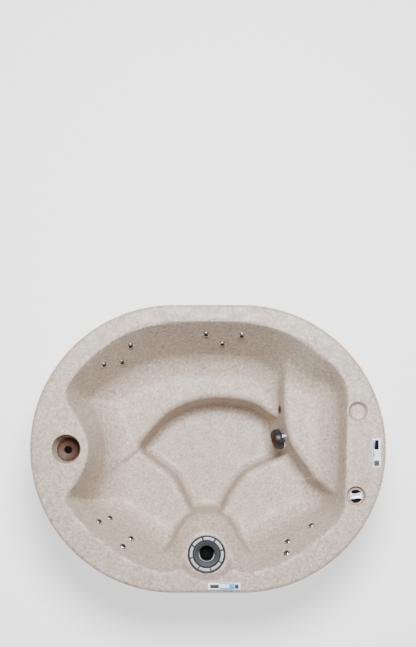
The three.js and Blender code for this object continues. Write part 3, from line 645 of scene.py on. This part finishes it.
def standing_drum(radius, low, high, point, facing=(0, 0, 1)):
    piece = drum(radius, low, high, 48)
    stand(piece, point, facing)
    apply_place(piece)
    return piece


def drum_ring(count, circle, radius, low, high):
    """Equal drums spaced evenly round a circle."""
    turns = np.linspace(0, 2 * np.pi, count, endpoint=False)
    return [standing_drum(radius, low, high, around(circle, turn)) for turn in turns]


def cup_solids(x, y, top, bottom, depth):
    """The cup under the rim, and the rounded hollow in it."""
    floor = RIM_Z - depth
    outer = [(0, floor - 8), (bottom + 8, floor - 8), (top + 8, RIM_Z - 3), (0, RIM_Z - 3)]
    hollow = rounded([(0, floor), (bottom, floor), (top, RIM_Z), (top + 14, RIM_Z + 8)], 9, 6)
    pair = []
    for profile in (outer, hollow + [(0, RIM_Z + 8)]):
        piece = turned(profile, 96)
        piece.location = (x * MM, y * MM, 0)
        apply_place(piece)
        pair.append(piece)
    return pair


cups, hollows = zip(*[cup_solids(**place) for place in (BUCKET, CUP, KNOB)])
boolean(tub, joined(list(cups)), "UNION")

# The wide hollows go first and the holes second, because cutters that overlap can't be joined.
LIGHT_SPOT = (LIGHT_POINT, LIGHT_FACING)
cuts = [*hollows, standing_drum(LIGHT["radius"] + 0.4, -LIGHT["seat"] - 0.4, 100, *LIGHT_SPOT)]
pad_rows = rounded([(0, 798.4), (CUP_PAD_RADIUS, 798.4), (CUP_PAD_RADIUS + 7, 801.5)], 5)
for x, y in CUP_PADS:
    pad = turned(pad_rows + [(0, 801.5)], 96)
    pad.location = (x * MM, y * MM, 0)
    cuts.append(pad)
boolean(tub, joined(cuts), "DIFFERENCE")

holes = [
    standing_drum(FILTER_HOLE, 500, 760, (FILTER_X * MM, FILTER_Y * MM, 0)),
    standing_drum(24.4, 600, 720, (BUCKET["x"] * MM, BUCKET["y"] * MM, 0)),
    standing_drum(21.4, 740, 790, (KNOB["x"] * MM, KNOB["y"] * MM, 0)),
    standing_drum(40.4, -120, 30, *LIGHT_SPOT),
    standing_drum(RETURN["radius"] + 0.4, -80, 30, RETURN_POINT, RETURN_FACING),
]
for joint in JET_JOINTS:
    holes.append(standing_drum(JET_HOLE, -90, 40, joint["pos_m"], joint["axis"]))
boolean(tub, joined(holes), "DIFFERENCE")
SHELL_NODES = ("tub_shell", "footwell_bowl", "ice_bucket_well", "cup_holder_well",
               "air_control_well")
finish_piece(tub, "tub_moulding", "spa", TUB_SKIN, "moulded_shell", *SHELL_NODES)

# %% [markdown]
# Each jet is a chrome escutcheon with a dark, dished face, and a nozzle set off to one side so that
# turning the face moves the stream. One is modelled and copied to each place in the wall.

# %% Jets
ESCUTCHEON = rounded([(15, 1.5), (24, 1.5), (24, 4), (20.5, 8), (16.5, 8), (15, 6.5)], 1.5)
JET_DISH = rounded([(0, -14), (14.6, -14), (14.6, 6), (12.6, 6), (9, 1), (0, 1)], 1.2)
NOZZLE = rounded([(3.4, -2), (6.4, -2), (5.4, 9), (3.4, 9)], 0.8)
VANES = 6


def copied(piece):
    twin = piece.copy()
    twin.data = piece.data.copy()
    bpy.context.scene.collection.objects.link(twin)
    return twin


def jet_patterns():
    ring = turned_ring(ESCUTCHEON, 48)
    dish = turned(JET_DISH, 40)
    nozzle = turned_ring(NOZZLE, 24)
    nozzle.location = (2.2 * MM, 0, 0)
    nozzle.rotation_euler = (0, math.radians(14), 0)
    apply_place(nozzle)
    vanes = []
    for k in range(VANES):
        turn = 2 * math.pi * k / VANES
        place = Vector(around(10.4, turn)) + Vector((0, 0, 3.2 * MM))
        vanes.append(cube(6.5, 1.3, 3.2, place, (0, 0, turn)))
    return ring, joined([dish, nozzle, *vanes])


ring_pattern, eye_pattern = jet_patterns()
for joint in JET_JOINTS:
    node = "jet_face_" + joint["child"].removeprefix("jet_")
    for pattern, kind, material, slot in (
        (ring_pattern, "ring", CHROME, "chrome"),
        (eye_pattern, "eye", BLACK, "black_plastic"),
    ):
        piece = copied(pattern)
        stand(piece, joint["pos_m"], joint["axis"])
        finish_piece(piece, f"{joint['child']}_{kind}", joint["child"], material, slot, node)
bpy.data.objects.remove(ring_pattern)
bpy.data.objects.remove(eye_pattern)

# %% [markdown]
# The underwater light is a stepped drum on the raised seat's front wall: a chrome wall flange, a
# black screw ring with grip notches, and an amber lens moulded with rings that spread the light.


# %% Underwater light
def ringed_lens(radius, low, high, rings):
    """A lens profile whose face rises to the middle in small ripples."""
    rows = [(0, low), (radius, low), (radius, high - 8)]
    for k in range(2 * rings, 0, -1):
        share = k / (2 * rings)
        rows.append(((radius - 2) * share, high - 6 * share**2 + (0.9 if k % 2 else -0.9)))
    return rows + [(0, high)]


def place_fitting(piece, point, facing, name, body, material, slot, *nodes):
    stand(piece, point, facing)
    return finish_piece(piece, name, body, material, slot, *nodes)


def add_light():
    edge, back = LIGHT["radius"], -LIGHT["seat"]
    flange = rounded([(38, -40), (38, back), (edge, back), (edge, 18), (edge - 6, 18),
                      (edge - 6, 2), (34, 2), (34, -40)], 2.5)
    screw_ring = rounded([(edge - 15, 18.5), (edge - 1, 18.5), (edge - 1, 40), (edge - 9, 62),
                          (edge - 15, 62)], 3)
    place_fitting(turned_ring(flange, 96), *LIGHT_SPOT, "light_flange", "spa", CHROME, "chrome",
                  "light_housing")
    ring = turned_ring(screw_ring, 96)
    boolean(ring, joined(drum_ring(12, edge, 4, 15, 70)), "DIFFERENCE")
    place_fitting(ring, *LIGHT_SPOT, "light_grip_ring", "spa", BLACK, "black_plastic",
                  "light_screw_ring")
    lens = turned(ringed_lens(edge - 15.5, 32, 66, 9), 96)
    place_fitting(lens, *LIGHT_SPOT, "light_face", "spa", AMBER, "amber_lens", "light_lens")


add_light()


# %% Return fitting
def add_return():
    rows = rounded([(0, -30), (20, -30), (20, 0.6), (26, 0.6), (26, 3), (18, 6.5), (8, 6.5),
                    (6, 1), (0, 1)], 1.5)
    piece = turned(rows, 64)
    boolean(piece, joined(drum_ring(10, 12.5, 2.2, -10, 20)), "DIFFERENCE")
    place_fitting(piece, RETURN_POINT, RETURN_FACING, "return_cover", "spa", BLACK,
                  "black_plastic", "return_fitting")


add_return()

# %% [markdown]
# The ice bucket's floor is a dark amber dish that a lamp below can light, round a black drain
# strainer. The air control is a black cap with a wavy chrome bar for the fingers.


# %% Ice bucket
def upright(piece, x, y, name, body, material, slot, *nodes):
    piece.location = (x * MM, y * MM, 0)
    return finish_piece(piece, name, body, material, slot, *nodes)


def add_bucket():
    floor = RIM_Z - BUCKET["depth"]
    x, y, low = BUCKET["x"], BUCKET["y"], floor + 0.4
    dish = rounded([(24.2, low), (60, low), (70, floor + 8), (69, floor + 13.5), (62, floor + 10),
                    (50, floor + 6), (40, floor + 5), (28, floor + 3.5), (24.2, floor + 3)], 2)
    upright(turned_ring(dish, 96), x, y, "bucket_dish", "spa", AMBER, "amber_lens", "bucket_lens")
    cup = rounded([(0, floor - 40), (20, floor - 40), (24, floor - 30), (24, floor + 2.5),
                   (20, floor + 2.5), (19, floor - 3), (0, floor - 3)], 1.5)
    strainer = turned(cup, 64)
    holes = [*drum_ring(6, 7, 2.4, floor - 12, floor + 5),
             *drum_ring(12, 14, 2.4, floor - 12, floor + 5)]
    boolean(strainer, joined(holes), "DIFFERENCE")
    upright(strainer, x, y, "bucket_drain", "spa", MATT_BLACK, "black_plastic", "bucket_strainer")


add_bucket()


# %% Air control
def wavy_bar(length, depth, height, low):
    """A bar along X, pinched in the middle and rounded, made from a subdivided cube."""
    bar = cube(length, depth, height, (0, 0, (low + height / 2) * MM))
    bpy.ops.object.mode_set(mode="EDIT")
    bpy.ops.mesh.subdivide(number_cuts=15)
    bpy.ops.object.mode_set(mode="OBJECT")
    for vertex in bar.data.vertices:
        along = vertex.co.x / (length * MM / 2)
        vertex.co.y *= 0.74 + 0.26 * along**2
        vertex.co.y += 2.2 * MM * math.sin(math.pi * along)
        vertex.co.x *= 1 - 0.09 * (vertex.co.y / (depth * MM / 2)) ** 2
        if vertex.co.z > (low + height / 2) * MM:
            vertex.co.z -= 2.5 * MM * (1 - abs(along)) * (1 - abs(vertex.co.y) / (depth * MM / 2))
    soften(bar, 1.6, 4)
    return bar


def add_air_control():
    floor = RIM_Z - KNOB["depth"]
    x, y = KNOB["x"], KNOB["y"]
    collar = rounded([(13.2, floor - 40), (20.8, floor - 40), (20.8, floor + 0.4),
                      (34, floor + 0.4), (34, floor + 5.6), (13.2, floor + 5.6)], 1.2)
    upright(turned_ring(collar, 64), x, y, "air_collar", "spa", GREY, "grey_plastic",
            "air_control_body")
    cap = rounded([(0, floor - 30), (12, floor - 30), (12, floor + 6.6), (38, floor + 6.6),
                   (38, floor + 18), (35, floor + 21), (0, floor + 21)], 1.5)
    knob = turned(cap, 96)
    boolean(knob, joined(drum_ring(36, 38.6, 1.6, floor + 4, floor + 18)), "DIFFERENCE")
    upright(knob, x, y, "air_knob", "air_control_knob", MATT_BLACK, "black_plastic",
            "air_control_cap")
    bar = wavy_bar(74, 40, 9, floor + 21.2)
    upright(bar, x, y, "air_knob_bar", "air_control_knob", BRIGHT, "chrome", "air_control_bar")


add_air_control()

# %% [markdown]
# The filter drops into the pedestal. A dark ring carries eight pale segments, and inside it a ribbed
# grey funnel floats and draws the surface water down past the cartridge's black handle.

# %% Filter sizes
LAND = PEDESTAL_Z
SEGMENTS = 8
SEGMENT_GAP = math.radians(6)
FUNNEL_RIBS = 24


# %% Lock ring
def add_lock_ring():
    base = rounded([(81, LAND + 5), (115, LAND + 5), (115, LAND + 11), (112, LAND + 13.5),
                    (106, LAND + 13.5), (104.5, LAND + 10.5), (81, LAND + 10)], 1.5)
    upright(turned_ring(base, 128), FILTER_X, FILTER_Y, "filter_ring_base", "lock_ring", BLACK,
            "black_plastic", "filter_lock_ring")
    section = ((87, 10.5), (102.5, 10.8), (87, 14.6), (102.5, 14.2))
    sweep = 2 * math.pi / SEGMENTS - SEGMENT_GAP
    pieces = []
    for k in range(SEGMENTS):
        deselect()
        bpy.ops.mesh.primitive_plane_add(size=1, rotation=(math.pi / 2, 0, 0))
        segment = bpy.context.object
        apply_place(segment)
        for vertex, (r, z) in zip(segment.data.vertices, section):
            vertex.co = (r * MM, 0, (LAND + z) * MM)
        bpy.ops.object.mode_set(mode="EDIT")
        bpy.ops.mesh.select_all(action="SELECT")
        bpy.ops.mesh.spin(steps=14, angle=sweep, center=(0, 0, 0), axis=(0, 0, 1))
        face_outwards()
        segment.rotation_euler = (0, 0, 2 * math.pi * k / SEGMENTS + 0.2)
        soften(segment, 1.2, 3)
        apply_modifiers(segment)
        apply_place(segment)
        pieces.append(segment)
    upright(joined(pieces), FILTER_X, FILTER_Y, "filter_ring_segments", "lock_ring", PALE_GREY,
            "light_grey_plastic", "filter_lock_ring")


add_lock_ring()


# %% Canister, funnel and handle
def add_canister():
    rows = rounded([(0, LAND - 330), (70, LAND - 330), (90, LAND - 300), (97, LAND - 8),
                    (97, LAND + 0.4), (107, LAND + 0.4), (107, LAND + 4), (91, LAND + 4),
                    (91, LAND - 10), (84, LAND - 294), (0, LAND - 320)], 3)
    upright(turned(rows, 96), FILTER_X, FILTER_Y, "filter_well", "spa", GREY, "grey_plastic",
            "filter_canister")


def add_funnel():
    rows = rounded([(49, LAND - 64), (52, LAND - 64), (52, LAND - 16), (78, LAND - 4), (78, LAND + 2),
                    (74, LAND + 2), (50, LAND - 11), (49, LAND - 20)], 2)
    funnel = turned_ring(rows, 96)
    ribs = []
    for turn in np.linspace(0, 2 * np.pi, FUNNEL_RIBS, endpoint=False):
        place = Vector(around(63, turn)) + Vector((0, 0, (LAND - 3.4) * MM))
        ribs.append(cube(20, 2, 3, place, (0, -math.radians(28), turn)))
    upright(joined([funnel, *ribs]), FILTER_X, FILTER_Y, "filter_funnel", "weir", DARK_GREY,
            "grey_plastic", "filter_weir")


def add_handle():
    rows = rounded([(0, LAND - 80), (44, LAND - 80), (44, LAND - 70), (34, LAND - 70),
                    (30, LAND - 58), (24, LAND - 58), (22, LAND - 66), (0, LAND - 66)], 2)
    upright(turned(rows, 64), FILTER_X, FILTER_Y, "filter_lift", "filter_insert", MATT_BLACK,
            "black_plastic", "filter_handle")


add_canister()
add_funnel()
add_handle()

# %% [markdown]
# The cartridge is a pleated sleeve of white fabric. Its folds are a star-shaped outline drawn up to
# its height, which a smooth ring can't show.

# %% Pleated cartridge
PLEATS = 72
PLEAT_RADIUS, PLEAT_FOLD = 60, 0.84
SLEEVE_HEIGHT = 208


def add_cartridge():
    deselect()
    bpy.ops.mesh.primitive_circle_add(vertices=2 * PLEATS, radius=PLEAT_RADIUS * MM, fill_type="NGON")
    sleeve = bpy.context.object
    for k, vertex in enumerate(sleeve.data.vertices):
        if k % 2:
            vertex.co *= PLEAT_FOLD
    bpy.ops.object.mode_set(mode="EDIT")
    bpy.ops.mesh.select_all(action="SELECT")
    bpy.ops.mesh.extrude_region_move(TRANSFORM_OT_translate={"value": (0, 0, SLEEVE_HEIGHT * MM)})
    face_outwards()
    sleeve.location = (0, 0, (LAND - 290) * MM)
    apply_place(sleeve)
    boolean(sleeve, drum(22, LAND - 300, LAND - 60, 48), "DIFFERENCE")
    upright(sleeve, FILTER_X, FILTER_Y, "filter_pleats", "filter_insert", FABRIC, "filter_fabric",
            "filter_cartridge")


add_cartridge()

# %% [markdown]
# The control panel and the plate on the rim are thin white mouldings with coloured inlays. The
# inlays are plain bands and blocks, with no lettering. The plate's grey border is painted shadow.

# %% Panel and plate
PANEL = {"x": 1008, "y": -25, "width": 52, "length": 176, "thickness": 4}
KEY = {"size": 10, "pitch": 15, "y": -62}
WINDOW = {"width": 24, "length": 56, "y": 48}
PLATE = {"x": 97, "y": -822, "width": 209, "depth": 53}
SKY_BLUE = handled("sky_blue_inlay", (0.03, 0.36, 0.75), 0.4)
NAVY = handled("navy_inlay", (0.012, 0.03, 0.10), 0.3)
# This grey is painted shadow where it rims the plate, and printed grey where it is the strip on the
# plate's face.
SHADOW_AND_PRINT_GREY = handled("painted_shadow_and_print_grey", (0.33, 0.35, 0.37), 0.35)


def tablet(width, depth, height, x, y, low, corner=3, edge=0.6):
    """A flat block with rounded corners and a soft top edge."""
    piece = cube(width, depth, height)
    bpy.ops.object.mode_set(mode="EDIT")
    bpy.ops.mesh.select_mode(type="EDGE")
    bpy.ops.mesh.select_all(action="DESELECT")
    bpy.ops.object.mode_set(mode="OBJECT")
    for side in piece.data.edges:
        a, b = (piece.data.vertices[i].co for i in side.vertices)
        side.select = abs(a.z - b.z) > height * MM / 2
    bpy.ops.object.mode_set(mode="EDIT")
    bpy.ops.mesh.bevel(offset=corner * MM, segments=6, affect="EDGES")
    bpy.ops.object.mode_set(mode="OBJECT")
    soften(piece, edge, 3)
    piece.location = (x * MM, y * MM, (low + height / 2) * MM)
    return piece


def fixed_tablet(*sizes):
    """A tablet with its soft edge and its place already applied, ready to cut or be cut."""
    piece = tablet(*sizes)
    apply_modifiers(piece)
    apply_place(piece)
    return piece


def add_panel():
    face = RIM_Z + 0.4
    x, y, keys_y, window_y = PANEL["x"], PANEL["y"], PANEL["y"] + KEY["y"], PANEL["y"] + WINDOW["y"]
    width, length = WINDOW["width"], WINDOW["length"]
    body = fixed_tablet(PANEL["width"], PANEL["length"], PANEL["thickness"], x, y, face, 7, 1.2)
    keypad = fixed_tablet(30, 33, 0.6, x, keys_y, face + 3.8, 3, 0.15)
    half, hole = KEY["pitch"] / 2, KEY["size"] + 1
    corners = [(x + i * half, keys_y + j * half) for i in (-1, 1) for j in (-1, 1)]
    holes = joined([fixed_tablet(hole, hole, 8, *corner, face + 1.2, 2.4, 0.2) for corner in corners])
    window = fixed_tablet(width + 1, length + 1, 8, x, window_y, face + 1.6, 2, 0.2)
    boolean(keypad, copied(holes), "DIFFERENCE")
    boolean(body, joined([holes, window]), "DIFFERENCE")
    finish_piece(body, "panel_moulding", "spa", WHITE, "white_plastic", "control_panel")
    finish_piece(keypad, "panel_keypad", "spa", BLACK, "black_plastic")
    glass = tablet(width, length, 2.2, x, window_y, face + 1.8, 1.8, 0.4)
    finish_piece(glass, "panel_window", "spa", DISPLAY, "display_glass", "control_display")
    bands = (("outer", 6, 150, -21, 0), ("upper", 7, 52, -16, 46), ("lower", 7, 30, -15, -8))
    for name, across, along, aside, up in bands:
        stripe = tablet(across, along, 0.4, x + aside, y + up, face + 3.8, 2.8, 0.12)
        finish_piece(stripe, f"panel_blue_{name}", "spa", SKY_BLUE, "white_plastic")


def add_keys():
    for name in ("up", "down", "pump", "light"):
        low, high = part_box(f"control_key_{name}")
        middle = (low + high) / (2 * MM)
        size = (high - low) / MM
        key = tablet(size.x, size.y, size.z, middle.x, middle.y, low.z / MM, 2.2, 0.7)
        finish_piece(key, f"panel_key_{name}", f"key_{name}", BLACK, "black_plastic",
                     f"control_key_{name}")


def add_rim_plate():
    x, y, width, depth = PLATE["x"], PLATE["y"], PLATE["width"], PLATE["depth"]
    # The grey tablet reaches 6 mm past the white face all round. That grey border is a painted drop
    # shadow round the plate.
    shadow_border = tablet(width, depth, 1.5, x, y, RIM_Z + 0.4, 7, 0.5)
    finish_piece(shadow_border, "plate_painted_shadow_border", "spa", SHADOW_AND_PRINT_GREY, "white_plastic", "rim_plate")
    inlays = [
        ("plate_face", WHITE, width - 12, depth - 12, 0, 0, 1.7, 5),
        ("plate_dark_block", BLACK, 52, 21, -58, -1, 2.0, 1.5),
        ("plate_grey_strip", SHADOW_AND_PRINT_GREY, 60, 6, 0, 15, 2.0, 1.5),
        ("plate_blue_band", SKY_BLUE, 58, 10, 1, -15, 2.0, 1.5),
        ("plate_blue_step", SKY_BLUE, 32, 36, 46, -1, 2.0, 1.5),
        ("plate_navy_block", NAVY, 22, 27, 75, -2, 2.0, 1.5),
    ]
    for name, material, w, d, aside, up, height, corner in inlays:
        piece = tablet(w, d, 0.5, x + aside, y + up, RIM_Z + height, corner, 0.15)
        finish_piece(piece, name, "spa", material, "white_plastic")


add_panel()
add_keys()
add_rim_plate()

# %% [markdown]
# The cabinet wall follows the rim's outline, set in under the lip. Shallow upright flutes stiffen
# the moulding. It is a profile carried round the outline, and the door is cut from the same wall.

# %% Cabinet sizes
CABINET_RADIUS = END_RADIUS - 25
CABINET_WALL = 8
CABINET_LOW, CABINET_HIGH = 25.4, 789.6
FLUTES = 60
FLUTE_DEPTH = 5
DOOR = {"half": 300, "low": 90, "high": 640, "gap": 2}
LATCH = {"y": 262, "z": 596, "hole": 9}
DRAIN_Z = 62
GLAND = {"y": -400, "z": 62}
STATIONS = 720
WALL_LEVELS = (CABINET_LOW + 2, 90, 130, 145, 160, 170, 300, 500, 660, 672, 685, 700, CABINET_HIGH)


# %% Cabinet wall
def round_outline(radius, count):
    """Points evenly along an obround of that end radius, with the outward direction at each."""
    arc, straight = math.pi * radius, 2 * END_CENTRE
    total = 2 * (arc + straight)
    spots = []
    for k in range(count):
        run = total * k / count
        side, run = (1, run) if run < total / 2 else (-1, run - total / 2)
        if run < arc:
            turn = -math.pi / 2 + run / radius
            x, y = END_CENTRE + radius * math.cos(turn), radius * math.sin(turn)
            facing = (math.cos(turn), math.sin(turn))
        else:
            x, y, facing = END_CENTRE - (run - arc), radius, (0, 1)
        spots.append((side * x, side * y, side * facing[0], side * facing[1]))
    return spots


def flute(k, z):
    """How far the wall is pressed in at a station and a height."""
    fade = min(max((z - 130) / 40, 0), 1) * min(max((700 - z) / 40, 0), 1)
    wave = abs(math.sin(math.pi * FLUTES * k / STATIONS))
    return FLUTE_DEPTH * fade * (1 - wave**0.6)


def cabinet_wall():
    outer = [(0, z) for z in WALL_LEVELS]
    inner = [(-CABINET_WALL, CABINET_HIGH), (-CABINET_WALL, CABINET_LOW)]
    profile = [(-2, CABINET_LOW), *outer, *inner]
    points = []
    for k, (x, y, nx, ny) in enumerate(round_outline(CABINET_RADIUS, STATIONS)):
        for out, z in profile:
            push = out - (flute(k, z) if out == 0 else 0)
            points.append(((x + nx * push) * MM, (y + ny * push) * MM, z * MM))
    rings = np.array(points).reshape(STATIONS, len(profile), 3)
    return swept(rings)


def swept(rings):
    """Closes a grid of points both ways round into a ring-shaped solid."""
    piece = bent_grid(np.concatenate([rings, rings[:, :1]], axis=1))
    face_outwards()
    return piece


def on_east_end(y):
    lean = math.asin(y / CABINET_RADIUS)
    return END_CENTRE + CABINET_RADIUS * math.cos(lean), Vector((math.cos(lean), math.sin(lean), 0))


def doorway(inset):
    """A block as large as the doorway, less an inset on each side."""
    height = DOOR["high"] - DOOR["low"] - 2 * inset
    middle = DOOR["low"] + inset + height / 2
    return cube(400, 2 * (DOOR["half"] - inset), height, (1000 * MM, 0, middle * MM))


def east_drum(radius, low, high, y, z):
    x, facing = on_east_end(y)
    return standing_drum(radius, low, high, Vector((x, y, z)) * MM, facing)


def add_cabinet():
    wall = cabinet_wall()
    door = copied(wall)
    drain = standing_drum(14.4, -40, 40, Vector((0, -CABINET_RADIUS, DRAIN_Z)) * MM, (0, -1, 0))
    gland = east_drum(10.4, -40, 40, GLAND["y"], GLAND["z"])
    boolean(wall, joined([doorway(0), drain, gland]), "DIFFERENCE")
    finish_piece(wall, "cabinet_wall", "spa", CABINET_SKIN, "moulded_cabinet", "cabinet")
    boolean(door, doorway(DOOR["gap"]), "INTERSECT")
    holes = [east_drum(LATCH["hole"], -30, 30, side * LATCH["y"], LATCH["z"]) for side in (-1, 1)]
    boolean(door, joined(holes), "DIFFERENCE")
    finish_piece(door, "access_panel", "door", CABINET_SKIN, "moulded_cabinet", "access_door")


add_cabinet()

# %% [markdown]
# The base tray is one black moulding: a flat floor with an upstand that the cabinet stands on. It
# starts as a disc pulled out to the outline, and is then extruded, inset and pressed down.


# %% Base tray
def add_tray():
    outline = round_outline(CABINET_RADIUS + 8, 240)
    deselect()
    bpy.ops.mesh.primitive_circle_add(vertices=len(outline), radius=1, fill_type="NGON")
    tray = bpy.context.object
    for vertex, (x, y, _, _) in zip(tray.data.vertices, outline):
        vertex.co = (x * MM, y * MM, 0)
    bpy.ops.object.mode_set(mode="EDIT")
    bpy.ops.mesh.select_all(action="SELECT")
    bpy.ops.mesh.extrude_region_move(TRANSFORM_OT_translate={"value": (0, 0, 25 * MM)})
    bpy.ops.mesh.inset(thickness=22 * MM)
    bpy.ops.transform.translate(value=(0, 0, -17 * MM))
    face_outwards()
    soften(tray, 2, 3)
    finish_piece(tray, "tray_moulding", "spa", BLACK, "black_plastic", "base_tray")


add_tray()

# %% [markdown]
# The remaining pieces are hidden in the equipment bay or small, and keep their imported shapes. Each
# gets the finish of its slot.

# %% Finishes for the carried-over pieces
SLOT_FINISHES = {
    "moulded_shell": TUB_SKIN, "moulded_cabinet": CABINET_SKIN, "black_plastic": BLACK,
    "grey_plastic": GREY, "light_grey_plastic": PALE_GREY, "white_plastic": WHITE,
    "chrome": CHROME, "amber_lens": AMBER, "display_glass": DISPLAY, "filter_fabric": FABRIC,
    "foam": FOAM, "painted_motor": MOTOR_PAINT, "steel": STEEL,
}
SLOT_OF = {part["node"]: part["material_slot"] for part in frame["record"]["subparts"]}
for name, node in NODES.items():
    if not node.data.materials:
        node.data.materials.append(None)
    for index in range(len(node.data.materials)):
        node.material_slots[index].material = SLOT_FINISHES[SLOT_OF[name]]
print("carried-over pieces", len(NODES))

# %% [markdown]
# The floor is plain and pale, and glows a little so that it stays light all over. One wide soft
# light hangs high up and to the north, which leaves the north wall in the most shade. A faint sky
# fills the rest.

# %% Floor and light
deselect()
bpy.ops.mesh.primitive_plane_add(size=40)
floor = bpy.context.object
floor.name = "floor"
paper = handled("pale_floor", (0.95, 0.95, 0.95), 0.8,
                Emission_Color=(1, 1, 1, 1), Emission_Strength=1.2)
floor.data.materials.append(paper)


def add_soft_light(name, size, energy, place, target):
    data = bpy.data.lights.new(name, "AREA")
    data.shape = "DISK"
    data.size = size
    data.energy = energy
    lamp = bpy.data.objects.new(name, data)
    lamp.location = place
    lamp.rotation_euler = (Vector(target) - Vector(place)).to_track_quat("-Z", "Y").to_euler()
    bpy.context.scene.collection.objects.link(lamp)


add_soft_light("overhead", size=2.4, energy=940, place=(0.3, 2.0, 6.6), target=(0, 0, 0.4))
sky = bpy.data.worlds.new("sky")
sky.use_nodes = True
glow = sky.node_tree.nodes["Background"]
glow.inputs["Color"].default_value = (1, 1, 1, 1)
glow.inputs["Strength"].default_value = 0.1
bpy.context.scene.world = sky
